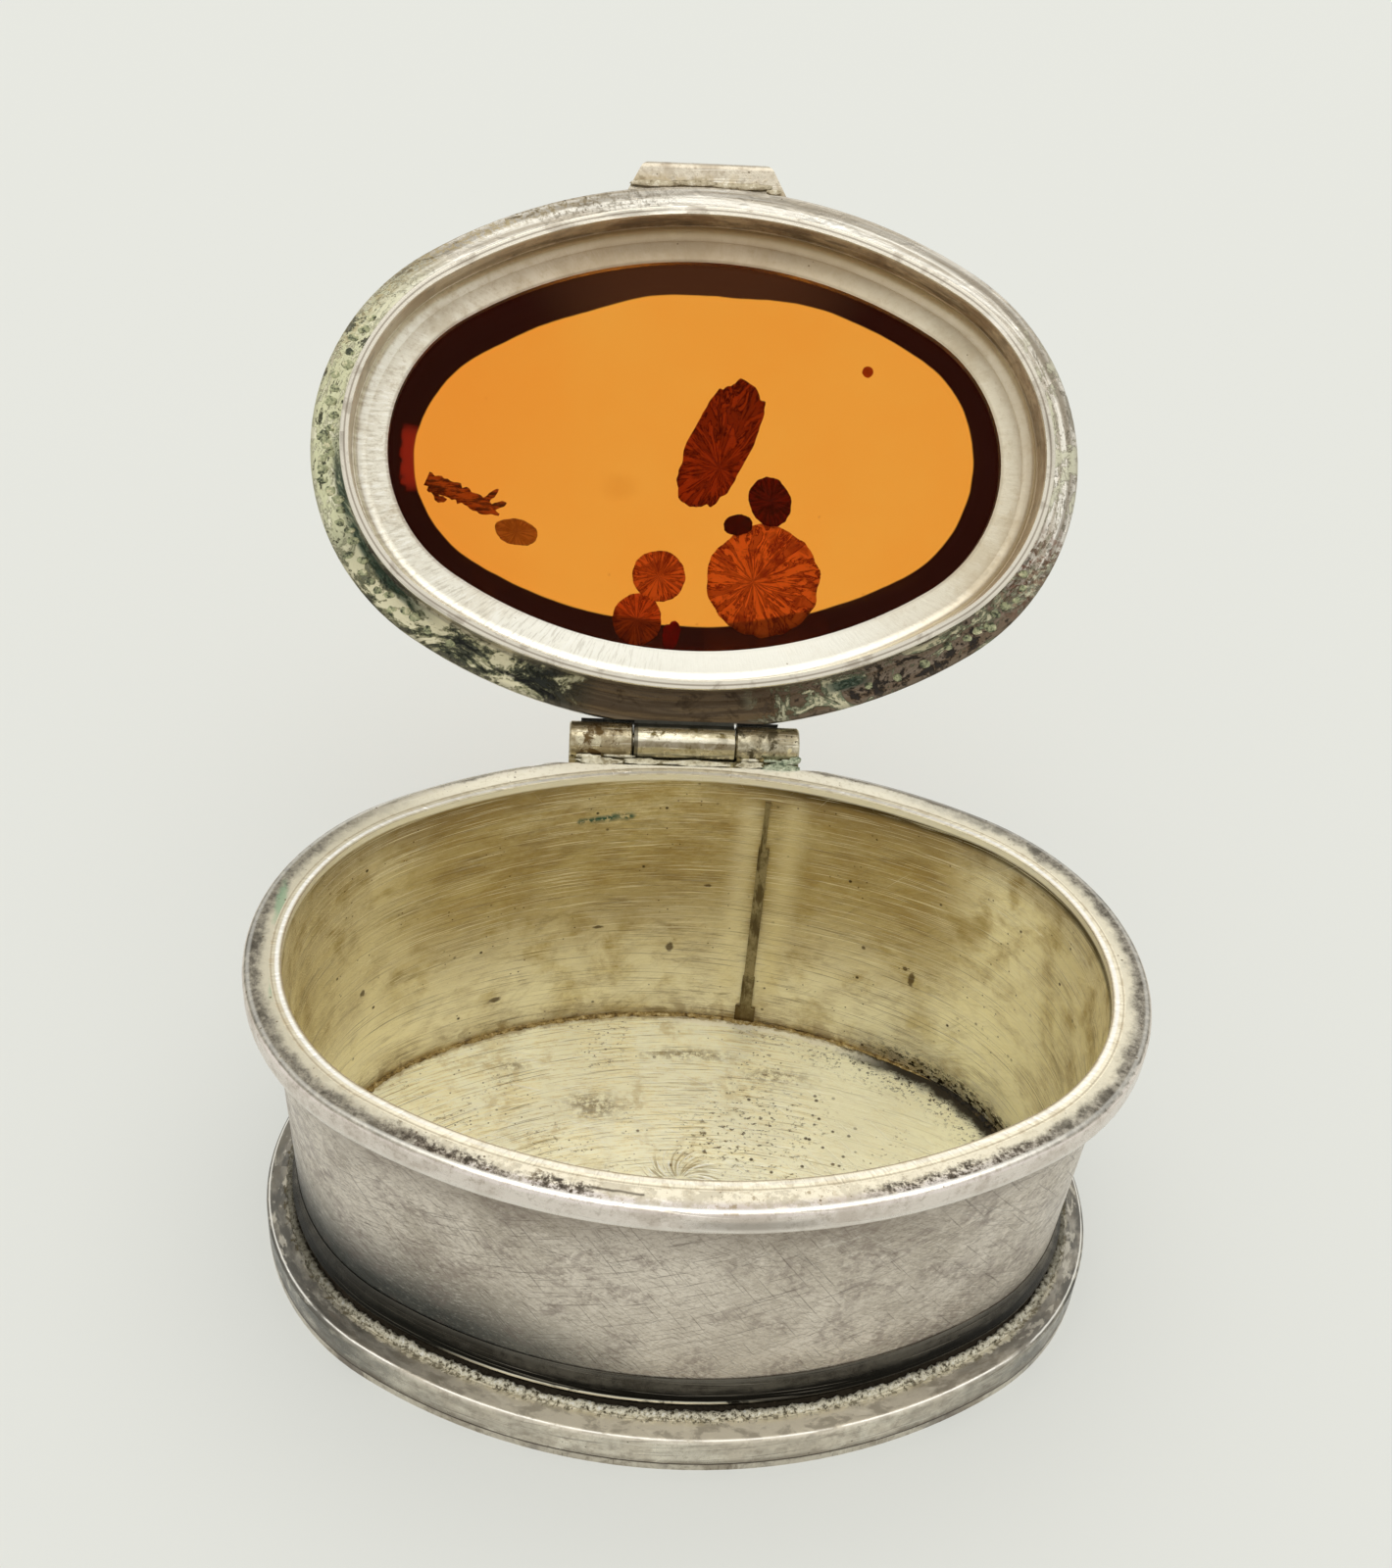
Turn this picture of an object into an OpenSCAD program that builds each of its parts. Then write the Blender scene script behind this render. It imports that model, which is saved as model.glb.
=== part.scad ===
// Oval hinged pill box: a soldered silver box with a moulded rim and foot, and a lid set with amber.
// Units are millimetres, +Z is up, the hinge is at the back (+Y) and the thumbpiece at the front.
// The origin is the middle of the underside of the foot.

/* [Outline] */
// Length of the box over its rim
box_length = 45; // [40:0.5:52]
// Radius of the rounded ends of the rim's outline
end_radius = 13.5; // [12.5:0.1:14.5]
// Half the angle that each rounded end turns through before the flatter side begins
join_angle = 57.7; // [54:0.1:62]
// Height of the box from the table to the flat of the rim
box_height = 19.3; // [16:0.1:26]

/* [Wall and floor] */
// Thickness of the side wall
wall_thickness = 0.6; // [0.5:0.05:0.8]
// How far the wall stands in from the rim's outline at the top
wall_inset_top = 1.3; // [1.1:0.05:1.6]
// How far the wall stands in from the rim's outline at the foot
wall_inset_foot = 1.9; // [1.7:0.05:2.2]
// Thickness of the floor inside the wall
floor_thickness = 0.6; // [0.4:0.05:1.2]
// Thickness of the plate under the whole foot
base_thickness = 0.5; // [0.4:0.05:0.9]
// Width of the solder seam at the middle of the wall
seam_width = 0.6; // [0.3:0.05:0.9]
// How far the solder seam stands proud of the wall inside
seam_height = 0.15; // [0.1:0.01:0.25]
// Distance of the seam from the middle of the back wall
seam_offset = 4.6; // [3:0.1:7]

/* [Rim and foot mouldings] */
// Height of the rim's band
rim_height = 1.45; // [1.2:0.05:2]
// Radius of the rim's upper outside edge
rim_top_radius = 0.3; // [0.15:0.05:0.4]
// Radius of the rim's lower outside edge
rim_low_radius = 0.4; // [0.2:0.05:0.6]
// Depth of the flat that is filed in the back of the rim for the hinge
rim_flat_depth = 1.15; // [1.05:0.05:1.25]
// How far the foot's outline stands in from the rim's outline
foot_inset = 0.15; // [0:0.05:0.4]
// Height of the foot ring's flat above the table
foot_height = 2.25; // [1.9:0.05:2.6]
// Width of the foot ring's flat
foot_ledge = 1.15; // [1:0.05:1.3]
// Radius of the foot ring's upper outside edge
foot_edge_radius = 0.25; // [0.1:0.05:0.4]
// Height of the solder fillet above the foot ring's flat
foot_fillet = 0.4; // [0.3:0.05:0.5]
// Height of the bead's underside above the table
bead_level = 3.25; // [3:0.05:3.5]
// Height of the bead
bead_height = 0.1; // [0.08:0.02:0.3]
// How far the bead stands out from the wall
bead_reach = 0.32; // [0.25:0.01:0.4]
// Height of the cove above the bead
cove_height = 1.5; // [1.2:0.05:2]

/* [Lid] */
// How far the lid's outline stands in from the rim's outline
lid_inset = 0.25; // [0.1:0.05:0.4]
// Gap between the closed lid and the rim
lid_gap = 0.06; // [0.04:0.01:0.12]
// Width of the lid's flat where it meets the rim
flange_width = 1.95; // [1.85:0.05:2.1]
// Thickness of the lid's frame
frame_thickness = 2; // [1.7:0.05:2.5]
// Radius of the frame's upper outside edge
frame_edge_radius = 0.9; // [0.5:0.05:1.2]
// Bevel of the frame's upper inside edge
frame_bevel = 0.3; // [0.1:0.05:0.4]
// How far the locating lip reaches below the lid's flat
lip_depth = 2.4; // [1.5:0.05:3]
// Thickness of the locating lip
lip_thickness = 0.5; // [0.4:0.05:0.7]
// Angle at which the lid stands open against its stop
lid_open = 130; // [110:1:140]

/* [Stone and its setting] */
// Depth of the stone's shelf inside the lid's flat
shelf_depth = 0.45; // [0.3:0.05:0.8]
// Thickness of the stone's shelf
shelf_thickness = 0.6; // [0.4:0.05:0.8]
// Radius of the cove between the lip and the shelf
shelf_cove = 0.7; // [0.4:0.05:0.9]
// How far the window stands in from the rim's outline
window_inset = 4.65; // [4.4:0.05:5.2]
// Width of the shelf's ledge under the stone
stone_ledge = 1; // [0.7:0.05:1.2]
// Height of the stone at its middle
stone_height = 5.3; // [4.5:0.1:6.5]
// Size of the stone's dome, as an ellipsoid, beside the stone's outline
dome_spread = 1.08; // [1.07:0.01:1.12]
// Thickness of the bezel strip round the stone
bezel_thickness = 0.5; // [0.4:0.05:0.6]
// Height of the bezel strip above the shelf
bezel_height = 1.4; // [1.1:0.05:1.8]
// Clearance between the stone and its bezel
stone_clearance = 0.03; // [0.02:0.01:0.06]

/* [Thumbpiece] */
// Width of the thumbpiece where it leaves the lid
thumb_root_width = 9; // [7:0.1:11]
// Width of the thumbpiece at its front edge
thumb_tip_width = 7.4; // [6:0.1:8]
// How far the thumbpiece reaches out from the lid's outline
thumb_reach = 1.6; // [1:0.05:2]
// Thickness of the thumbpiece
thumb_thickness = 1; // [0.7:0.05:1.1]
// How far the thumbpiece sits to the right of the middle
thumb_offset = 0.2; // [-1:0.1:1]
// Radius of the thumbpiece's corners seen from above
thumb_corner = 0.8; // [0.4:0.05:1]
// Height of the thumbpiece's underside above the lid's flat
thumb_lift = 0.2; // [0.1:0.05:0.4]

/* [Hinge] */
// How far the hinge sits to the right of the middle
hinge_offset = -0.2; // [-1:0.1:1]
// Outside diameter of the hinge knuckles
knuckle_diameter = 2.1; // [1.9:0.05:2.3]
// Length of the lid's middle knuckle
lid_knuckle_length = 5.7; // [4.5:0.1:7]
// Length of each outer knuckle on the box
box_knuckle_length = 3.6; // [2.8:0.1:4.5]
// Gap between neighbouring knuckles
knuckle_gap = 0.08; // [0.05:0.01:0.15]
// Diameter of the hinge pin
pin_diameter = 0.9; // [0.7:0.05:1]
// Radial running clearance round the pin in the lid's knuckle
pin_clearance = 0.04; // [0.02:0.01:0.08]
// Height of the hinge axis above the flat of the rim
axis_rise = 0.3; // [0.2:0.05:0.4]
// Distance of the hinge axis behind the rim's flat
axis_setback = 1.8; // [1.75:0.05:1.95]
// Clearance between the box's knuckles and the flat on the back of the lid
turn_clearance = 0.16; // [0.12:0.02:0.3]
// Clearance between the lid's knuckle and its trough in the bearer
trough_clearance = 0.12; // [0.08:0.01:0.2]
// How far the top of the hinge bearer lies below the flat of the rim
bearer_drop = 0.15; // [0.1:0.05:0.2]
// How far the bearer reaches behind the hinge axis
bearer_reach = 1.6; // [1.5:0.05:1.8]
// Thickness of the stop strap wrapped over the lid's knuckle
strap_thickness = 0.35; // [0.25:0.05:0.4]
// Angle below the horizontal at which the strap meets the bearer
stop_angle = 25; // [24:1:30]
// Angular gap left at the stop
stop_gap = 3; // [2:0.5:5]

/* [Hidden] */
$fn = 96;

// Four-centre oval: the end arcs and the side arcs meet on lines through their centres.
half_length = box_length / 2;
end_centre = half_length - end_radius;
side_radius = end_radius + end_centre / cos(join_angle);
side_centre = end_centre * tan(join_angle);
half_width = side_radius - side_centre;

// Insets from the rim's outline
wall_inner_top = wall_inset_top + wall_thickness;
wall_inner_foot = wall_inset_foot + wall_thickness;
flange_end = lid_inset + flange_width;
lip_end = flange_end + lip_thickness;
stone_inset = window_inset - stone_ledge;
bezel_inset = stone_inset - stone_clearance - bezel_thickness;

// Levels of the box
floor_level = base_thickness + floor_thickness;
rim_bottom = box_height - rim_height;
cove_top = bead_level + bead_height + cove_height;

// Levels of the closed lid
lid_level = box_height + lid_gap;
frame_top = lid_level + frame_thickness;
shelf_bottom = lid_level + shelf_depth;
shelf_top = shelf_bottom + shelf_thickness;

// Hinge
rim_flat_y = half_width - rim_flat_depth;
axis_y = rim_flat_y + axis_setback;
axis_z = box_height + axis_rise;
knuckle_radius = knuckle_diameter / 2;
pin_radius = pin_diameter / 2;
outer_knuckle_start = lid_knuckle_length / 2 + knuckle_gap;
hinge_half = outer_knuckle_start + box_knuckle_length;
lid_flat_y = axis_y - knuckle_radius - turn_clearance;
bearer_top = box_height - bearer_drop;
strap_radius = knuckle_radius + strap_thickness;
leaf_length = turn_clearance + 0.4 * knuckle_radius;

// Room by which a cutting shape reaches past what it cuts
margin = 1;
// Least thickness left at the edge of a cove
feather = 0.05;
// Radius of the lightly broken edges
broken_edge = 0.1;
// How far the middle of the dome's ellipsoid lies below the shelf
dome_sink = 0.5;
// Facets of a drawn dome
dome_facets = 240;
// Steps in a quarter round of the thumbpiece
corner_steps = 8;

silver = "silver";
dark_silver = "darkgray";
amber = "darkorange";

// Moves a shape by a round step and then by what is left, so that neither loses any digits.
module exact_move(shift) {
    step = [for (value = shift) round(value * 1000) / 1000];
    translate(step)
        translate(shift - step)
            children();
}

// Turns a profile, drawn as [inset, height], round one arc of the oval.
module arc_sweep(centre, radius, start, sweep) {
    exact_move([centre[0], centre[1], 0])
        rotate_extrude(angle = sweep, start = start)
            exact_move([radius, 0])
                mirror([1, 0])
                    children();
}

// A moulding of one profile all round the oval
module oval_ring() {
    for (side = [0, 180]) {
        rotate([0, 0, side]) {
            arc_sweep([end_centre, 0], end_radius, -join_angle, 2 * join_angle)
                children();
            arc_sweep([0, -side_centre], side_radius, join_angle, 180 - 2 * join_angle)
                children();
        }
    }
}

// A flat oval plate with its edge at one inset: a true band round a plain core
module oval_plate(inset, bottom, top) {
    band = half_width - end_radius + margin;
    core_radius = end_radius - inset;
    oval_ring()
        translate([inset, bottom])
            square([band, top - bottom]);
    translate([-end_centre, -core_radius, bottom])
        cube([2 * end_centre, 2 * core_radius, top - bottom]);
    for (side = [-1, 1])
        translate([side * end_centre, 0, bottom])
            cylinder(h = top - bottom, r = core_radius - margin);
}

// Places the closed lid's parts at the open lid.
module lid_pose() {
    translate([0, axis_y, axis_z])
        rotate([-lid_open, 0, 0])
            translate([0, -axis_y, -axis_z])
                children();
}

// What rounding takes off a square corner at the origin
module edge_waste(radius) {
    difference() {
        translate([-margin, -margin])
            square(radius + margin);
        translate([radius, radius])
            circle(radius);
    }
}

// Profile of a band whose outside edges are rounded
module rounded_band(outer, inner, bottom, top, low_radius, top_radius) {
    difference() {
        translate([outer, bottom])
            square([inner - outer, top - bottom]);
        translate([outer, bottom])
            edge_waste(low_radius);
        translate([outer, top])
            mirror([0, 1])
                edge_waste(top_radius);
    }
}

// Everything behind a plane across the box, between two levels
module behind(plane_y, bottom, top) {
    translate([-half_length, plane_y, bottom])
        cube([box_length, half_width, top - bottom]);
}

module base_plate() {
    color(silver)
        oval_plate(foot_inset, 0, base_thickness);
}

module foot_ring() {
    color(silver)
        oval_ring() {
            rounded_band(foot_inset, wall_inset_foot, base_thickness, foot_height, feather, foot_edge_radius);
            polygon([
                [foot_inset + foot_ledge, foot_height],
                [wall_inset_foot, foot_height + foot_fillet],
                [wall_inset_foot, foot_height]
            ]);
        }
}

module foot_cove() {
    cove_reach = bead_reach - feather;
    cove_radius = (pow(cove_reach, 2) + pow(cove_height, 2)) / (2 * cove_reach);
    color(dark_silver)
        oval_ring() {
            translate([wall_inset_foot - bead_reach, bead_level])
                square([bead_reach, bead_height]);
            difference() {
                translate([wall_inset_foot - bead_reach, bead_level + bead_height])
                    square([bead_reach, cove_height]);
                translate([wall_inset_foot - feather - cove_radius, cove_top])
                    circle(cove_radius);
            }
        }
}

module body_wall() {
    color(silver)
        oval_ring()
            polygon([
                [wall_inset_foot, base_thickness],
                [wall_inset_foot, cove_top],
                [wall_inset_top, rim_bottom],
                [wall_inset_top, box_height],
                [wall_inner_top, box_height],
                [wall_inner_top, rim_bottom],
                [wall_inner_foot, cove_top],
                [wall_inner_foot, base_thickness]
            ]);
}

// The wall's soldered joint inside, wider towards the floor
module wall_seam() {
    narrow_end = cove_top + 0.75 * (rim_bottom - cove_top);
    foot_end = floor_level + 2 * seam_width;
    color(dark_silver) {
        seam_stretch(seam_width * 2, floor_level, foot_end, wall_inner_foot, wall_inner_foot);
        seam_stretch(seam_width * 1.2, foot_end, cove_top, wall_inner_foot, wall_inner_foot);
        seam_stretch(seam_width, cove_top, narrow_end, wall_inner_foot, wall_inset_at(narrow_end));
        seam_stretch(seam_width / 2, narrow_end, rim_bottom, wall_inset_at(narrow_end), wall_inner_top);
    }
}

// Inset of the wall's inner face at a height between the cove and the rim
function wall_inset_at(level) =
    wall_inner_foot + (wall_inner_top - wall_inner_foot) * (level - cove_top) / (rim_bottom - cove_top);

// A strip of the seam on the inner face, from one height and inset to another
module seam_stretch(width, bottom, top, bottom_inset, top_inset) {
    face_radius = side_radius - bottom_inset;
    sweep = 2 * asin(width / 2 / face_radius);
    middle = acos(seam_offset / face_radius);
    arc_sweep([0, -side_centre], side_radius, middle - sweep / 2, sweep)
        polygon([
            [bottom_inset, bottom],
            [top_inset, top],
            [top_inset + seam_height, top],
            [bottom_inset + seam_height, bottom]
        ]);
}

module floor_plate() {
    color(silver)
        oval_plate(wall_inner_foot, base_thickness, floor_level);
}

module rim_collar() {
    color(silver)
        difference() {
            oval_ring()
                rounded_band(0, wall_inset_top, rim_bottom, box_height, rim_low_radius, rim_top_radius);
            behind(rim_flat_y, rim_bottom - margin, box_height + margin);
        }
}

// Places a shape drawn in the YZ plane at the hinge axis, with its height along X.
module on_axis(from) {
    translate([from + hinge_offset, axis_y, axis_z])
        rotate([90, 0, 90])
            children();
}

// A knuckle along the hinge axis with broken edges and a bore
module knuckle(from, to, bore_radius) {
    length = to - from;
    on_axis(from)
        rotate_extrude()
            polygon([
                [bore_radius, 0],
                [knuckle_radius - broken_edge, 0],
                [knuckle_radius, broken_edge],
                [knuckle_radius, length - broken_edge],
                [knuckle_radius - broken_edge, length],
                [bore_radius, length]
            ]);
}

// The bar behind the rim that carries the knuckles and stops the lid
module hinge_bearer() {
    color(silver)
        difference() {
            translate([hinge_offset - hinge_half, rim_flat_y, rim_bottom])
                cube([2 * hinge_half, axis_setback + bearer_reach, bearer_top - rim_bottom]);
            on_axis(-hinge_half - margin)
                cylinder(h = 2 * (hinge_half + margin), r = knuckle_radius);
            on_axis(-outer_knuckle_start)
                cylinder(h = 2 * outer_knuckle_start, r = knuckle_radius + trough_clearance);
            on_axis(-hinge_half - margin)
                rotate([0, 0, -stop_angle - stop_gap])
                    cube([half_width, half_width, 2 * (hinge_half + margin)]);
        }
}

module box_knuckle_left() {
    color(silver)
        knuckle(-hinge_half, -outer_knuckle_start, pin_radius);
}

module box_knuckle_right() {
    color(silver)
        knuckle(outer_knuckle_start, hinge_half, pin_radius);
}

module hinge_pin() {
    color(dark_silver)
        on_axis(-hinge_half)
            cylinder(h = 2 * hinge_half, r = pin_radius);
}

// The middle knuckle, its leaf on the lid's back and the strap that stops the lid
module lid_knuckle() {
    flat_reach = axis_y - lid_flat_y;
    strap_start = lid_open - stop_angle;
    color(silver)
        lid_pose()
            on_axis(-lid_knuckle_length / 2)
                linear_extrude(lid_knuckle_length)
                    difference() {
                        union() {
                            circle(knuckle_radius);
                            intersection() {
                                circle(strap_radius);
                                polygon(2 * strap_radius * [
                                    [0, 0],
                                    [cos(strap_start), sin(strap_start)],
                                    [-1, 1],
                                    [-1, 0]
                                ]);
                            }
                            translate([-flat_reach, lid_level - axis_z])
                                square([leaf_length, knuckle_radius + axis_z - lid_level]);
                        }
                        circle(pin_radius + pin_clearance);
                        translate([-flat_reach - margin, -strap_radius])
                            square([margin, 2 * strap_radius]);
                    }
}

module lid_frame() {
    color(silver)
        lid_pose()
            difference() {
                oval_ring()
                    difference() {
                        rounded_band(
                            lid_inset, flange_end, lid_level, frame_top, broken_edge, frame_edge_radius
                        );
                        translate([flange_end - frame_bevel, frame_top])
                            polygon([[0, 0], [frame_bevel, -frame_bevel], [frame_bevel + 1, 0]]);
                    }
                behind(lid_flat_y, lid_level - margin, frame_top + margin);
            }
}

module lid_lip() {
    color(silver)
        lid_pose()
            oval_ring()
                rounded_band(
                    flange_end, lip_end, lid_level - lip_depth, shelf_bottom, broken_edge, broken_edge
                );
}

// The plate with the oval window that the stone lies on
module stone_seat() {
    cove_arc = shelf_cove - feather;
    color(silver)
        lid_pose()
            oval_ring() {
                translate([flange_end, shelf_bottom])
                    square([window_inset - flange_end, shelf_thickness]);
                difference() {
                    translate([lip_end, shelf_bottom - shelf_cove])
                        square(shelf_cove);
                    translate([lip_end + shelf_cove, shelf_bottom - shelf_cove])
                        circle(cove_arc);
                }
            }
}

module stone_bezel() {
    color(silver)
        lid_pose()
            oval_ring()
                rounded_band(
                    bezel_inset, bezel_inset + bezel_thickness,
                    shelf_top, shelf_top + bezel_height, broken_edge, 2 * broken_edge
                );
}

module amber_stone() {
    dome_radius = stone_height + dome_sink;
    spread = [half_length - stone_inset, half_width - stone_inset] * dome_spread / dome_radius;
    color(amber)
        lid_pose()
            intersection() {
                oval_plate(stone_inset, shelf_top, shelf_top + stone_height + margin);
                translate([0, 0, shelf_top - dome_sink])
                    scale([spread[0], spread[1], 1])
                        rotate_extrude($fn = dome_facets)
                            intersection() {
                                circle(dome_radius, $fn = dome_facets);
                                square(dome_radius + margin);
                            }
            }
}

// Points of an arc
function arc_points(centre, radius, from, to) = [
    for (step = [0:corner_steps])
        let (angle = from + (to - from) * step / corner_steps)
            centre + radius * [cos(angle), sin(angle)]
];

module thumbpiece() {
    root_y = -(half_width - lid_inset);
    tip_y = root_y - thumb_reach;
    taper = (thumb_root_width - thumb_tip_width) / 2;
    slope = atan2(taper, thumb_reach);
    side_length = sqrt(pow(taper, 2) + pow(thumb_reach, 2));
    corner_x = thumb_tip_width / 2 - thumb_corner * (side_length - taper) / thumb_reach;
    right_side = concat(
        [[thumb_root_width / 2 + taper, root_y + thumb_reach]],
        arc_points([corner_x, tip_y + thumb_corner], thumb_corner, -slope, -90)
    );
    left_side = [for (i = [len(right_side) - 1:-1:0]) [-right_side[i][0], right_side[i][1]]];
    bottom = lid_level + thumb_lift;
    edge = thumb_thickness / 2 - feather;
    section = concat(
        [[root_y + 2 * thumb_reach, bottom]],
        arc_points([tip_y + edge, bottom + edge], edge, -90, -180),
        arc_points([tip_y + edge, bottom + thumb_thickness - edge], edge, 180, 90),
        [[root_y + 2 * thumb_reach, bottom + thumb_thickness]]
    );
    color(silver)
        lid_pose()
            difference() {
                intersection() {
                    translate([thumb_offset, 0, bottom - margin])
                        linear_extrude(thumb_thickness + 2 * margin)
                            polygon(concat(right_side, left_side));
                    translate([-thumb_root_width, 0, 0])
                        rotate([90, 0, 90])
                            linear_extrude(2 * thumb_root_width)
                                polygon(section);
                }
                oval_plate(lid_inset, bottom - margin, bottom + thumb_thickness + margin);
            }
}

base_plate();
foot_ring();
foot_cove();
body_wall();
wall_seam();
floor_plate();
rim_collar();
hinge_bearer();
box_knuckle_left();
box_knuckle_right();
hinge_pin();
lid_knuckle();
lid_frame();
lid_lip();
stone_seat();
stone_bezel();
amber_stone();
thumbpiece();
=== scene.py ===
from functools import reduce
from math import copysign, cos, pi, radians, sin, sqrt, tan

import bmesh
import bpy
from mathutils import Matrix, Vector, noise


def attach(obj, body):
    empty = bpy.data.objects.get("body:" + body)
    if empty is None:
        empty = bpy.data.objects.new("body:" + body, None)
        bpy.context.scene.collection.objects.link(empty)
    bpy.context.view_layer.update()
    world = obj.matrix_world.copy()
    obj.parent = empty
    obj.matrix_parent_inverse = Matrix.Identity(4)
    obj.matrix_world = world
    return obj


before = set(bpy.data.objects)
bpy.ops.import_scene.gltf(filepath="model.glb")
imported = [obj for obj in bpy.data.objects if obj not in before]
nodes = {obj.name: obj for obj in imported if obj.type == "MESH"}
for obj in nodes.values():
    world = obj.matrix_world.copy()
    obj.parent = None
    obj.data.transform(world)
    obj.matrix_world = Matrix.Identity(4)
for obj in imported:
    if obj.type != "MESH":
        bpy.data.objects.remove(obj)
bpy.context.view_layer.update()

# The shape's own sizes, in millimetres, as the CAD has them
HALF_L, END_R, JOIN = 22.5, 13.5, radians(57.7)
END_C = HALF_L - END_R
SIDE_R = END_R + END_C / cos(JOIN)
SIDE_C = END_C * tan(JOIN)
HALF_W = SIDE_R - SIDE_C
AXIS_Y, AXIS_Z, OPEN = HALF_W - 1.15 + 1.8, 19.6, radians(130)
RIM_Z, LID_Z, SHELF_Z, FLOOR_Z, LEDGE_Z, BEAD_Z = 19.3, 19.36, 20.41, 1.1, 2.25, 3.25
AROUND = 18  # a mean radius, which turns an angle into a length
MM = 0.001
FRONT, BACK, TURN = -pi / 2, pi / 2, 2 * pi


# --- camera
# Focal length and principal point in the photograph's pixels, which is WIDE x HIGH
WIDE, HIGH, SENSOR = 1420, 1600, 36
F_PX, PX, PY = 1899.3, 619.2, 674.0
CAM = Vector((-7.055, -67.82, 84.147))
AIM = Vector((-5.256, 0.0, 36.834))
ROLL = 0.051


def add_object(name, data):
    ob = bpy.data.objects.new(name, data)
    bpy.context.scene.collection.objects.link(ob)
    return ob


def add_camera():
    fwd = (AIM - CAM).normalized()
    right = fwd.cross(Vector((0, 0, 1))).normalized()
    up = right.cross(fwd)
    r = cos(ROLL) * right + sin(ROLL) * up
    u = -sin(ROLL) * right + cos(ROLL) * up
    data = bpy.data.cameras.new("camera")
    data.sensor_fit = "AUTO"
    data.sensor_width = SENSOR
    data.lens = F_PX / HIGH * SENSOR
    data.shift_x = (WIDE / 2 - PX) / HIGH
    data.shift_y = (PY - HIGH / 2) / HIGH
    data.clip_start = 0.005
    data.clip_end = 20
    cam = add_object("camera", data)
    cam.matrix_world = Matrix((
        (r.x, u.x, -fwd.x, CAM.x * MM),
        (r.y, u.y, -fwd.y, CAM.y * MM),
        (r.z, u.z, -fwd.z, CAM.z * MM),
        (0, 0, 0, 1),
    ))
    bpy.context.scene.camera = cam


# --- node helpers
def rgb(code):
    """An sRGB colour written as rrggbb, as the linear one that a shader takes"""
    def lin(c):
        return c / 12.92 if c <= 0.04045 else ((c + 0.055) / 1.055) ** 2.4
    return tuple(lin(int(code[i:i + 2], 16) / 255) for i in (0, 2, 4))


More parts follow.
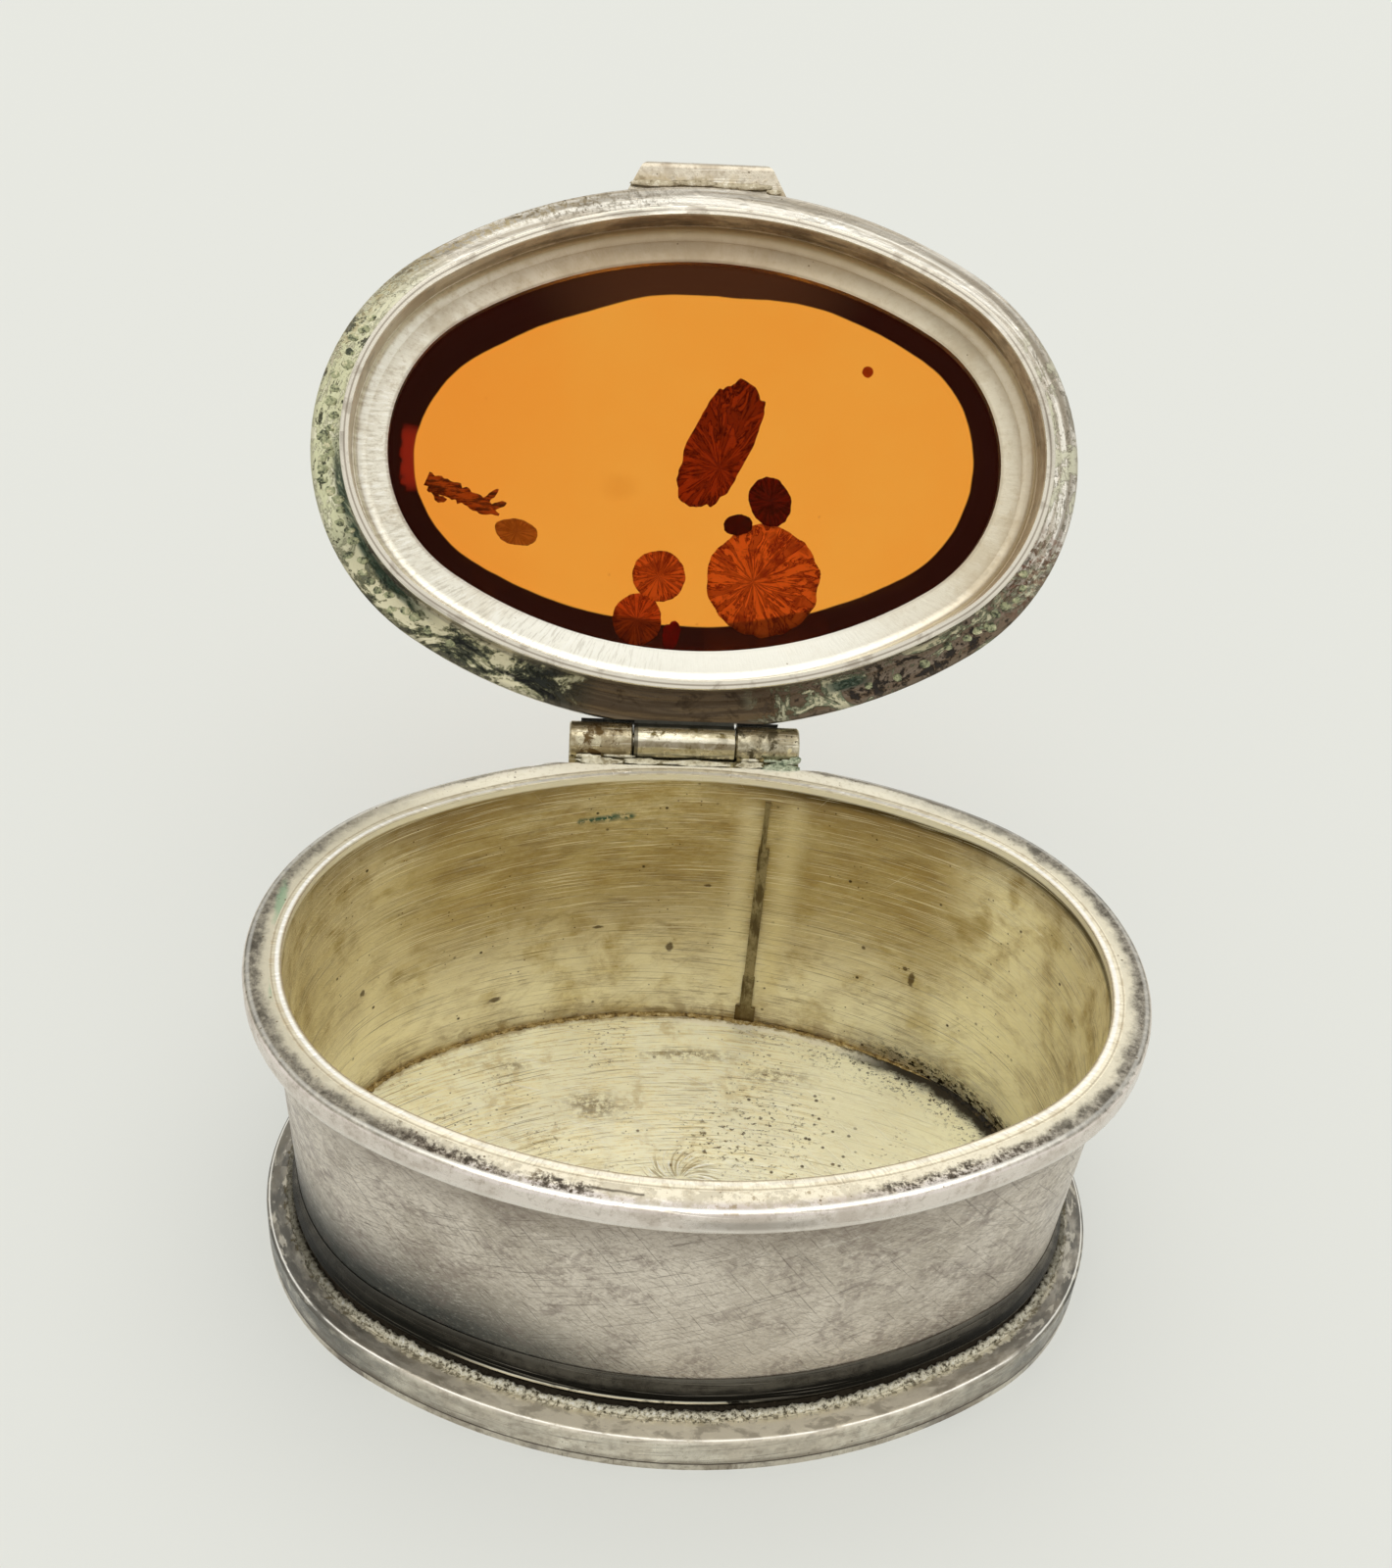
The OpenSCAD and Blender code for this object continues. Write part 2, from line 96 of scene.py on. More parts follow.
class Tree:
    """Short calls that add nodes to one material's tree."""

    def __init__(self, tree):
        self.t = tree

    def node(self, kind, props=None, **inputs):
        n = self.t.nodes.new(kind)
        for k, v in (props or {}).items():
            setattr(n, k, v)
        return self.fill(n, **inputs)

    def fill(self, n, **inputs):
        """Set or link a node's inputs, each by its name or by i and its number"""
        for k, v in inputs.items():
            key = int(k[1:]) if k[0] == "i" and k[1:].isdigit() else k.replace("_", " ")
            self.put(n.inputs[key], v)
        return n

    def put(self, socket, v):
        if isinstance(v, bpy.types.NodeSocket):
            self.t.links.new(v, socket)
        elif socket.type == "RGBA":
            socket.default_value = (*(rgb(v) if isinstance(v, str) else v), 1)
        else:
            socket.default_value = v

    def m(self, op, a, b=0.0, c=0.0, clamp=False):
        return self.node("ShaderNodeMath", {"operation": op, "use_clamp": clamp}, i0=a, i1=b, i2=c).outputs[0]

    def chain(self, op, vals):
        return reduce(lambda a, b: self.m(op, a, b), vals)

    def add(self, *vals):
        return self.chain("ADD", vals)

    def mul(self, *vals):
        return self.chain("MULTIPLY", vals)

    def top(self, *vals):
        return self.chain("MAXIMUM", vals)

    def sub(self, a, b):
        return self.m("SUBTRACT", a, b)

    def inv(self, a):
        return self.sub(1.0, a)

    def abs(self, a):
        return self.m("ABSOLUTE", a)

    def hypot(self, a, b):
        return self.m("SQRT", self.add(self.mul(a, a), self.mul(b, b)))

    def sway(self, a, k):
        """A noise from 0 to 1 as a shift to either side, k across"""
        return self.mul(self.sub(a, 0.5), k)

    def vm(self, op, a, b=(0, 0, 0)):
        n = self.node("ShaderNodeVectorMath", {"operation": op}, i0=a, i1=b)
        return n.outputs[1] if op in ("LENGTH", "DOT_PRODUCT", "DISTANCE") else n.outputs[0]

    def step(self, v, lo, hi):
        """0 at lo, 1 at hi, smooth between, whichever is the larger"""
        n = self.node("ShaderNodeMapRange", {"interpolation_type": "SMOOTHSTEP"}, i0=v)
        for i, x in enumerate((lo, hi, 0.0, 1.0) if lo <= hi else (hi, lo, 1.0, 0.0)):
            n.inputs[i + 1].default_value = x
        return n.outputs[0]

    def band(self, v, lo, hi, soft):
        """1 between lo and hi"""
        return self.mul(self.step(v, lo - soft, lo + soft), self.step(v, hi + soft, hi - soft))

    def mix(self, f, a, b):
        return self.node("ShaderNodeMix", {"data_type": "RGBA", "clamp_factor": True}, i0=f, i6=a, i7=b).outputs[2]

    def xyz(self, v):
        return tuple(self.node("ShaderNodeSeparateXYZ", i0=v).outputs)

    def vec(self, x, y, z=0.0):
        return self.node("ShaderNodeCombineXYZ", i0=x, i1=y, i2=z).outputs[0]

    def noise(self, v, scale, detail=4.0, rough=0.55, distort=0.0):
        return self.node("ShaderNodeTexNoise", i0=v, Scale=scale, Detail=detail, Roughness=rough,
            Distortion=distort).outputs[0]

    def cloud(self, v, scale, lo, hi, detail=6.0, rough=0.62, distort=0.3):
        return self.step(self.noise(v, scale, detail, rough, distort), lo, hi)

    def map(self, v, scale=(1, 1, 1), rot=0.0, loc=(0, 0, 0)):
        return self.node("ShaderNodeMapping", i0=v, Location=loc, Rotation=(0, 0, rot), Scale=scale).outputs[0]

    def voronoi(self, v, scale):
        return self.node("ShaderNodeTexVoronoi", Vector=v, Scale=scale).outputs["Distance"]

    def lines(self, v, angle, along, across, lo, hi, loc=(0, 0, 0)):
        """Thin lines at an angle in the first two coordinates"""
        w = self.map(self.map(v, rot=angle, loc=loc), (along, across, 1))
        return self.step(self.noise(w, 1.0, 2.0, 0.5), lo, hi)

    def seg(self, v, a, b, width, soft, wobble=0.0):
        """1 near the straight line from a to b"""
        ba = Vector(b) - Vector(a)
        if wobble:
            w = self.node("ShaderNodeTexNoise", i0=v, Scale=1.1)
            off = self.vm("MULTIPLY", self.vm("SUBTRACT", w.outputs["Color"], (0.5, 0.5, 0.5)), (wobble,) * 3)
            v = self.vm("ADD", v, off)
        pa = self.vm("SUBTRACT", v, tuple(a))
        h = self.m("DIVIDE", self.vm("DOT_PRODUCT", pa, tuple(ba)), ba.length_squared, clamp=True)
        q = self.vm("MULTIPLY", tuple(ba), self.vec(h, h, h))
        return self.step(self.vm("DISTANCE", pa, q), width + soft, max(width - soft, 0.0))

    def blob(self, v, c, size, edge=0.35, scale=1.6):
        """1 inside a ragged ellipsoid about c"""
        q = self.vm("DIVIDE", self.vm("SUBTRACT", v, c), size)
        r = self.add(self.vm("LENGTH", q), self.sway(self.noise(v, scale, 5.0, 0.65), 1.6))
        return self.step(r, 1.0 + edge, 1.0 - edge)

    def sector(self, ang, centre, half, soft=0.2):
        """1 within half of the centre angle"""
        c = self.m("COSINE", self.sub(ang, centre))
        return self.step(c, cos(min(half + soft, pi)), cos(max(half - soft, 0.0)))

    def place(self, lid):
        """Millimetre coordinates, on the lid those of the closed lid"""
        tc = self.node("ShaderNodeTexCoord").outputs["Object"]
        v = self.vm("MULTIPLY", tc, (1000, 1000, 1000))
        if lid:
            v = self.node("ShaderNodeVectorRotate", {"rotation_type": "X_AXIS"}, Vector=v,
                Center=(0, AXIS_Y, AXIS_Z), Angle=OPEN).outputs[0]
        return v

    def inset(self, v):
        """Distance in from the rim's outline, and the angle round the box"""
        x, y = self.xyz(v)[:2]
        ay = self.abs(y)
        ex = self.sub(self.abs(x), END_C)
        end = self.sub(END_R, self.hypot(ex, y))
        sy = self.add(ay, SIDE_C)
        side = self.sub(SIDE_R, self.hypot(sy, x))
        on_side = self.m("GREATER_THAN", self.mul(ay, cos(JOIN)), self.mul(ex, sin(JOIN)))
        d = self.add(self.mul(on_side, side), self.mul(self.inv(on_side), end))
        return d, self.m("ARCTAN2", y, x)

    def bump(self, height, distance):
        return self.node("ShaderNodeBump", Height=height, Strength=1.0, Distance=distance * MM).outputs[0]


def material(name):
    m = bpy.data.materials.new(name)
    m.use_nodes = True
    m.node_tree.nodes.clear()
    t = Tree(m.node_tree)
    bsdf = t.node("ShaderNodeBsdfPrincipled")
    t.node("ShaderNodeOutputMaterial", i0=bsdf.outputs[0])
    return m, t, bsdf


class Look:
    """The state of one surface while its layers are put on"""

    def __init__(self, name, lid):
        self.mat, self.t, self.bsdf = material(name)
        t = self.t
        self.v = t.place(lid)
        self.d, self.ang = t.inset(self.v)
        self.x, self.y, self.z = t.xyz(self.v)
        self.around = t.vec(t.mul(self.ang, AROUND), self.z, self.d)
        self.metal = 1.0
        self.rough = 0.3
        self.height = 0.0
        self.color = None
        self.bump = 0.02

    def near(self, centre, half, soft=0.2):
        return self.t.sector(self.ang, centre, half, soft)

    def cloud(self, *args):
        return self.t.cloud(self.v, *args)

    def tint(self, color, *masks):
        """Put a colour over what is there, where the product of the masks is 1"""
        mask = self.t.mul(*masks)
        self.color = self.t.mix(mask, self.color, color)
        return mask

    def layer(self, color, finish, *masks):
        """The same with a finish: roughness, or roughness, metal and raised height"""
        t, mask = self.t, self.tint(color, *masks)
        rough, metal, raised = (*(finish if isinstance(finish, tuple) else (finish,)), None, None)[:3]
        if rough is not None:
            self.rough = t.add(t.mul(self.rough, t.inv(mask)), t.mul(mask, rough))
        if metal is not None:
            self.metal = t.add(t.mul(self.metal, t.inv(mask)), t.mul(mask, metal))
        if raised is not None:
            self.height = t.add(self.height, t.mul(mask, raised))

    def silver(self, light, mid, dark, cloud=0.22, lo=0.42, hi=0.62, rough=(0.24, 0.42), grain=2.4):
        """Worn light metal under a dull film in clouds, with fine grain"""
        t = self.t
        fine = t.noise(self.v, grain, 6.0, 0.7)
        tiny = t.noise(self.v, grain * 4.5, 3.0, 0.7)
        mask = t.step(t.add(t.noise(self.v, cloud, 5.0, 0.6, 0.5), t.sway(fine, 0.35)), lo, hi)
        self.color = t.mix(mask, light, mid)
        self.tint(dark, t.step(t.add(fine, t.sway(tiny, 0.5)), 0.50, 0.72), 0.45)
        self.rough = t.add(rough[0], t.mul(mask, rough[1] - rough[0]))
        self.height = t.add(t.mul(fine, 0.5), t.mul(tiny, 0.25))
        self.fine, self.tiny = fine, tiny

    def scratch(self, light, strength, angle, along, across, lo, hi, loc=(0, 0, 0), v=None, cut=-0.5):
        s = self.t.lines(v or self.around, angle, along, across, lo, hi, loc)
        self.tint(light, s, strength)
        self.height = self.t.add(self.height, self.t.mul(s, cut))

    def specks(self, scale, size, color, strength, where):
        """Scattered small pits"""
        pits = self.t.step(self.t.voronoi(self.v, scale), size, size * 0.45)
        self.layer(color, (0.6, None, -1.0), pits, where, strength)

    def done(self):
        self.t.fill(self.bsdf, Base_Color=self.color, Roughness=self.rough, Metallic=self.metal,
            Normal=self.t.bump(self.height, self.bump))
        return self.mat


def use(node, mat):
    materials = nodes[node].data.materials
    materials.clear()
    materials.append(mat)


def paint(node, name, look, *tones, lid=False):
    """Give a piece of the CAD the silver that a look function makes"""
    s = Look(name + "_silver", lid)
    look(s, s.t, *tones)
    use(node, s.done())


# --- mesh helpers
def on_lid(p):
    """A point of the closed lid, where the open lid has it"""
    c, s = cos(OPEN), sin(OPEN)
    y, z = p[1] - AXIS_Y, p[2] - AXIS_Z
    return (p[0], AXIS_Y + c * y + s * z, AXIS_Z - s * y + c * z)


def oval(d, phi):
    """The point at inset d where the outline faces the direction phi"""
    c, s = cos(phi), sin(phi)
    if abs(s) * cos(JOIN) > abs(c) * sin(JOIN):
        r, cx, cy = SIDE_R - d, 0.0, -copysign(SIDE_C, s)
    else:
        r, cx, cy = END_R - d, copysign(END_C, c), 0.0
    return (cx + r * c, cy + r * s)


def piece(name, verts, faces, mat, body, slot):
    pts = [on_lid(p) for p in verts] if body == "lid" else verts
    me = bpy.data.meshes.new(name)
    me.from_pydata([tuple(c * MM for c in p) for p in pts], [], faces)
    bm = bmesh.new()
    bm.from_mesh(me)
    bmesh.ops.remove_doubles(bm, verts=bm.verts, dist=1e-7)
    bmesh.ops.recalc_face_normals(bm, faces=bm.faces)
    for f in bm.faces:
        f.smooth = True
    bm.to_mesh(me)
    bm.free()
    me.materials.append(mat)
    ob = add_object(name, me)
    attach(ob, body)


def slab(verts, faces, thick):
    """A sheet made solid: the same sheet again above it, and a rim round its open edges"""
    n = len(verts)
    sides = {(a, b) for f in faces for a, b in zip(f, f[1:] + f[:1])}
    rim = sorted((a, b) for a, b in sides if (b, a) not in sides)
    verts = verts + [(x, y, z + thick) for x, y, z in verts]
    over = [tuple(n + i for i in reversed(f)) for f in faces]
    return verts, faces + over + [(b, a, n + a, n + b) for a, b in rim]


def grain(p, size):
    """Small rounded grains, 0 to 1"""
    d = noise.voronoi(Vector(p) / size)[0]
    return max(0.0, 1.0 - 1.1 * d[0])


def crust(name, inset, level, radius, start, end, steps, mat, size, seed, tilt=0.0, low=0.25):
    """A granular bead that follows the oval between two directions, as solder or dirt does"""
    closed = end - start > TURN - 1e-6
    n, cols = steps if closed else steps + 1, 9
    verts, faces = [], []
    for i in range(n):
        phi = start + (end - start) * i / steps
        ends = 1.0 if closed else min(1.0, 8 * min(i, steps - i) / steps)
        x0, y0 = oval(inset, phi)
        swell = low + (1 - low) * (0.5 + 0.5 * noise.noise(Vector((x0 * 0.55, y0 * 0.55, seed))))
        for j in range(cols):
            th = radians(-25 + 230 * j / (cols - 1)) + tilt
            g = grain((x0 + seed, y0, level + 0.6 * j * size / cols), size)
            r = radius * ends * swell * (0.45 + 0.85 * g + 0.25 * noise.noise(Vector((x0 * 3, y0 * 3, j + seed))))
            x, y = oval(inset - r * cos(th), phi)
            verts.append((x, y, level + r * sin(th)))
    for i in range(steps):
        a, b = cols * i, cols * ((i + 1) % n)
        for j in range(cols):
            k = (j + 1) % cols
            faces.append((a + j, b + j, b + k, a + k))
    piece(name, verts, faces, mat, "box", "solder")


def lumps(name, spots, mat, rough, seed, body="box", cuts=3):
    """Several ragged lumps in one piece: each is a centre and three half sizes"""
    verts, faces = [], []
    for k, (c, size) in enumerate(spots):
        bm = bmesh.new()
        bmesh.ops.create_icosphere(bm, subdivisions=cuts, radius=1.0)
        base = len(verts)
        for w in bm.verts:
            p = w.co.normalized()
            q = Vector((p.x * size[0], p.y * size[1], p.z * size[2]))
            a = noise.fractal(q * 3.1 + Vector((seed + 7.3 * k, 1.7, 3.1)), 1.0, 2.1, 4)
            r = 1.0 + rough * a + 0.35 * rough * (grain(q + Vector((k, seed, 0)), 0.22) - 0.4)
            verts.append((c[0] + q.x * r, c[1] + q.y * r, c[2] + q.z * r))
        bm.verts.index_update()
        faces += [tuple(base + w.index for w in f.verts) for f in bm.faces]
        bm.free()
    piece(name, verts, faces, mat, body, "solder")


# --- colours
PALE = "ece7d8"
TARNISH = "625854"


# --- looks of the box
def wall_look(s, t):
    s.silver("e0d6c8", "c4baab", "928678", cloud=0.16, lo=0.4, hi=0.62, rough=(0.3, 0.42), grain=2.9)
    # outside: upright smears, short crossed strokes, dark hairs
    smear = t.noise(t.map(s.around, (0.55, 0.09, 0)), 1, 4, 0.55)
    s.tint("9c9184", t.step(smear, 0.42, 0.7), 0.22)
    s.scratch("eee6d9", 0.28, 0.6, 0.75, 6, 0.5, 0.72)
    s.scratch("82766a", 0.38, 0.5, 0.8, 7, 0.52, 0.74, (3, 1, 0))
    s.scratch("82766a", 0.3, -0.7, 1.1, 8, 0.55, 0.76, (7, 5, 0))
    s.scratch("ebe6da", 0.55, 0.72, 0.14, 13, 0.66, 0.72, (2, 9, 0), cut=-0.8)
    s.scratch("ebe6da", 0.5, -0.55, 0.16, 15, 0.68, 0.74, (11, 3, 0), cut=-0.8)
    s.scratch("5a5048", 0.5, 0.15, 0.2, 12, 0.67, 0.73, (5, 17, 0))
    marks = t.top(t.seg(s.v, (5.46, -14.15, 14.95), (7.24, -13.75, 15.22), 0.03, 0.05, 0.1),
        t.seg(s.v, (5.41, -14, 12.1), (7.64, -13.5, 12.1), 0.02, 0.05, 0.14),
        t.seg(s.v, (6.3, -13.9, 14.2), (7.4, -13.7, 13.6), 0.01, 0.03, 0.14),
        t.seg(s.v, (-18.3, -7.2, 11.5), (-16.9, -8.6, 9.6), 0.03, 0.05, 0.2),
        t.seg(s.v, (-15.2, -10.1, 7.1), (-13.4, -11.2, 6.3), 0.03, 0.05, 0.2))
    s.layer("f5f0e2", (None, None, -0.5), marks, 0.8)
    # painted dark reflection: a dark band low on the outer wall, reaching higher on the left
    left = s.near(-2.6, 0.5, 0.5)
    painted_dark_ring = t.add(t.mul(t.step(s.z, 6.6, 5), 0.3), t.mul(t.step(s.z, 11, 5.4), left, 0.85))
    s.tint("424541", painted_dark_ring)
    grit = t.noise(t.map(s.around, (3.2, 6, 1), rot=0.3), 1, 5, 0.78, 0.6)
    s.tint("786a62", t.step(grit, 0.5, 0.62), 0.38)
    # painted reflection: the front of the outer wall made lighter below its upper part
    s.tint("f4eada", s.near(-1.55, 0.5, 0.4), t.step(s.z, 15, 12), 0.28)
    s.tint("f0e8de", t.step(grit, 0.47, 0.38), 0.34)
    s.tint("84746c", t.cloud(s.around, 0.45, 0.5, 0.62, 0), t.cloud(s.around, 2.2, 0.42, 0.6), 0.45)
    s.scratch("645850", 0.55, -0.3, 0.28, 15, 0.62, 0.7, (21, 5, 0))
    s.scratch("645850", 0.55, 0.95, 0.24, 15, 0.64, 0.71, (31, 8, 0))
    # painted shadow: the outer wall darker towards the top, under the rim collar
    s.tint("867a6e", t.step(s.z, 13.6, 17), 0.62)
    # more painted dark reflection, low on the left of the outer wall
    s.tint("3a3e3c", t.step(s.z, 8.4, 4.8), s.near(-2.6, 0.55, 0.5), 0.6)
    outside, rough_out, height_out = s.color, s.rough, s.height

    # inside: yellow-brown, brushed along the wall
    brush = t.noise(t.map(s.around, (0.75, 5.5, 0), rot=0.03), 1, 6, 0.74, 0.5)
    broad = t.noise(t.map(s.around, (0.16, 0.5, 0), rot=0.02), 1, 6, 0.7, 0.8)
    tone = t.add(t.mul(brush, 0.35), t.mul(broad, 0.45), t.mul(s.fine, 0.2))
    s.color = t.mix(t.step(tone, 0.38, 0.62), "bca670", "e9ddb0")
    s.tint("a89364", t.step(s.tiny, 0.48, 0.74), 0.3)
    pale = t.mul(t.step(s.z, 13.5, 17), s.near(1.66, 0.4, 0.35))
    s.tint("a48c54", s.near(1.75, 1.32, 0.3), t.step(s.z, 4, 9.5), t.sub(0.58, t.mul(pale, 0.48)))
    low = t.step(s.z, 13, 3)
    s.tint("fff9e0", low, s.cloud(0.35, 0.28, 0.52), 0.9)
    ends = t.mul(t.step(t.abs(s.x), 13, 18), t.cloud(s.around, 0.5, 0.3, 0.55))
    s.tint("fff7d4", ends, t.add(0.55, t.mul(t.step(s.x, 0, 12), 0.45)))
    streaky = t.add(0.3, t.mul(t.step(brush, 0.42, 0.58), 0.9))
    s.tint("a28b5c", s.cloud(0.24, 0.48, 0.62), streaky, 0.32)
    s.layer("7e673e", 0.5, t.cloud(t.map(s.around, (0.5, 1.6, 0)), 0.5, 0.52, 0.68), streaky, 0.36)
    shade = t.mul(t.step(s.z, 16.4, 18.4), t.add(0.06, t.mul(s.near(0.75, 0.5, 0.35), 0.5),
        t.mul(s.near(2.45, 0.3, 0.35), 0.5)))
    s.tint("7a613e", shade, t.add(0.6, t.mul(s.fine, 0.5)))
    # painted shadow: a thin dark line at the top of the inner wall, under the rim, strongest on the right
    s.tint("423620", t.step(s.z, 18.2, 18.7), t.add(0.16, t.mul(s.near(0.35, 0.85, 0.4), 0.7)))
    s.tint("9c8458", t.step(s.z, 3.2, 1.5), s.cloud(0.9, 0.46, 0.62), 0.55)
    s.tint("eee2b8", t.seg(s.v, (6.2, 13.3, 17.4), (5.6, 13, 4), 0.35, 0.9), 0.6)
    s.tint("f4eac6", t.seg(s.v, (3.7, 13.7, 17), (3.2, 13.4, 4), 0.3, 0.9), 0.6)
    s.scratch("faf2d4", 0.6, 0.03, 0.2, 17, 0.58, 0.66, (1, 3, 0))
    s.scratch("705a34", 0.5, -0.02, 0.2, 17, 0.6, 0.68, (4, 7, 0))
    s.scratch("faf4dc", 0.4, 0.9, 0.12, 14, 0.73, 0.78, (14, 7, 0))
    s.scratch("faf4dc", 0.4, -0.95, 0.14, 14, 0.73, 0.78, (2, 13, 0))
    patchy = s.cloud(0.3, 0.5, 0.6, 2)
    s.specks(0.75, 0.1, "46341a", 0.9, patchy)
    s.specks(1.9, 0.13, "5c4626", 0.8, patchy)
    for c, size in (((-0.28, 13.7, 6.6), (0.3, 0.5, 0.45)), ((-4.63, 13.4, 8.3), (0.42, 0.5, 0.16)),
            ((1.67, 13.9, 11.4), (0.32, 0.5, 0.14)), ((10.85, 11.6, 8.98), (0.16, 0.5, 0.16)),
            ((-17.8, 6.9, 8.7), (0.2, 0.4, 0.3)), ((-10.6, 11.5, 3.9), (0.5, 0.5, 0.25)),
            ((13.6, 10.2, 7.9), (0.25, 0.3, 0.7)), ((13.2, 10.5, 8.5), (0.2, 0.3, 0.2))):
        small = tuple(0.72 * k for k in size)
        s.layer("543e20", (0.6, None, -0.6), t.blob(s.v, c, small, 0.35, 3.5), 0.75)
    foul = t.noise(t.map(s.v, (1, 1, 1.6)), 2.2, 5, 0.75)
    s.layer("302816", 0.6, t.step(s.z, 2.9, 1.6), s.near(0.42, 0.28, 0.12), t.step(foul, 0.5, 0.56))
    green = t.seg(s.v, (-5.8, 13.5, 16.2), (-3, 14, 16.4), 0.1, 0.25, 0.5)
    s.layer("285436", (0.7, 0.2, 0.6), green, s.cloud(3, 0.36, 0.48))
    neck = t.step(s.z, BEAD_Z + 0.05, BEAD_Z - 0.05)
    outside = t.mix(neck, outside, "2e261a")

    inside = t.step(t.sub(s.d, t.add(1.6, t.mul(t.sub(17.85, s.z), 0.6 / 13))), -0.05, 0.05)
    s.color = t.mix(inside, outside, s.color)
    s.rough = t.add(t.mul(t.inv(inside), rough_out), t.mul(inside, t.add(0.1, s.rough)))
    s.height = t.add(t.mul(t.inv(inside), height_out), t.mul(inside, t.add(s.height, t.mul(brush, 0.9))))
    # the part that shows in the rim; the uppermost band of the inner face is a painted highlight
    s.layer("f6f0dc", (0.4, 0.7), inside, t.step(s.z, 18.8, 18.98))
    top = t.step(s.z, 19.24, 19.29)
    s.layer("f3ebd2", (0.46, 0.75), top)
    s.tint("c4bca4", top, s.near(3.05, 0.6, 0.35), 0.75)
    s.tint("beac8a", top, s.cloud(1.6, 0.5, 0.62), 0.4)
    s.tint("8c7858", top, t.band(s.d, 1.36, 1.44, 0.04), 0.5)
    # painted highlight: a bright thin band along the inner edge of the wall's top, weaker at the front
    inner_highlight_strength = t.sub(0.8, t.mul(s.near(FRONT, 0.85, 0.35), 0.5))
    s.layer("fffdf6", 0.24, top, t.band(s.d, 1.6, 1.78, 0.05), inner_highlight_strength)
    s.tint("7a623e", top, t.step(s.d, 1.8, 1.88), t.inv(s.near(BACK, 1.2, 0.3)), 0.7)


def rim_look(s, t):
    s.silver("e6ddd4", "d0c5ba", "a09486", cloud=0.3, rough=(0.24, 0.38))
    s.scratch(PALE, 0.45, 0.05, 0.12, 12, 0.6, 0.72)
    # painted highlight: a lighter band low on the collar's outer side
    s.tint("ece7de", t.step(s.z, 18.5, 18.2), t.step(s.z, 17.85, 18.05), 0.5)
    s.tint("8e8a82", t.step(s.z, 19, 18.7), t.step(s.z, 18.2, 18.5), s.near(-1.45, 0.12, 0.12), 0.5)
    flat = t.step(s.z, 19.18, 19.28)
    s.layer("f5edd4", (0.46, 0.75), flat, t.step(s.d, 0.5, 0.9), 0.92)
    mott = t.add(t.mul(s.fine, 0.5), t.mul(t.noise(s.v, 4.5, 4, 0.75), 0.5))
    s.tint("beae8e", flat, t.step(mott, 0.5, 0.6), 0.45)
    s.tint("cec0a0", flat, s.cloud(0.8, 0.54, 0.66), 0.35)
    sides = t.top(s.near(0.08, 0.8, 0.3), s.near(3.3, 0.62, 0.3))
    wave = t.add(s.d, t.sway(t.noise(s.v, 0.45, 7, 0.74), 1.7))
    s.tint("dad3bc", flat, sides, 0.7)
    s.tint("beb7a0", flat, s.near(3.05, 0.6, 0.35), 0.65)
    patch = t.noise(s.v, 0.9, 6, 0.7)
    s.tint("b4aa92", flat, s.near(-1.9, 0.8, 0.3), t.step(patch, 0.49, 0.57), 0.5)
    s.tint("968260", flat, s.near(-1.7, 0.85, 0.3), t.step(patch, 0.44, 0.38), t.step(mott, 0.48, 0.54), 0.6)
    outer = t.mul(flat, t.step(wave, 1.2, 0.6), sides)
    s.layer("6c665b", 0.46, outer, t.add(0.72, t.mul(t.sub(mott, 0.47), 2.6)))
    s.tint("403b32", outer, s.cloud(0.8, 0.52, 0.62), 0.6)
    # painted light: the back of the rim's top made paler and less metallic, so that it reads bright
    rear_top_painted_light = t.mul(flat, s.near(BACK, 0.85, 0.35), t.step(s.d, 0.25, 0.55))
    s.layer("fffae6", (0.5, 0.3), rear_top_painted_light, 0.8)
    s.tint("cec2a0", rear_top_painted_light, t.step(mott, 0.52, 0.58), 0.28)
    back = t.top(s.near(2.25, 0.28, 0.15), s.near(0.92, 0.3, 0.15))
    rear = t.mul(flat, t.step(wave, 0.55, 0.25), back)
    s.tint("5c5446", rear, 0.7)
    front = t.mul(t.top(s.near(-0.88, 0.22, 0.1), s.near(-2.28, 0.12, 0.12), s.near(-1.98, 0.07, 0.05)),
        t.step(wave, 1.15, 0.75), t.step(s.d, 0.3, 0.45))
    s.layer("645a4e", 0.5, flat, front, t.step(mott, 0.43, 0.53), 0.9)
    s.layer("38322a", 0.5, flat, front, t.step(mott, 0.53, 0.57), 0.8)
    # painted highlight: a bright line along the rim's outer arris
    arris_highlight = t.mul(t.band(s.d, 0.18, 0.36, 0.07), t.step(s.z, 19, 19.2))
    s.layer("fffdf4", 0.22, arris_highlight, t.sub(0.8, t.mul(outer, 0.5)))
    for c, size in (((-20.6, -2.9, RIM_Z), (0.22, 1.1, 0.5)), ((-21.1, 2.7, RIM_Z), (0.26, 1.4, 0.5))):
        s.layer("789e7a", (0.6, 0.3), t.blob(s.v, c, size, 0.5, 2), 0.65)
    s.layer("a0ac8e", (0.6, 0.3), t.blob(s.v, (5.3, 15.25, RIM_Z), (1.2, 0.45, 0.5), 0.6, 2), 0.7)
    dark = t.seg(s.v, (-5.3, -14.75, RIM_Z), (-2.96, -15.08, RIM_Z), 0.05, 0.08, 0.2)
    s.layer("463a2c", (0.5, None, -0.6), dark, 0.85)
    s.specks(1.6, 0.12, "68563a", 0.8, t.mul(flat, s.cloud(0.5, 0.46, 0.54)))
    s.specks(3.4, 0.15, "786446", 0.7, t.mul(flat, s.cloud(0.6, 0.48, 0.58)))


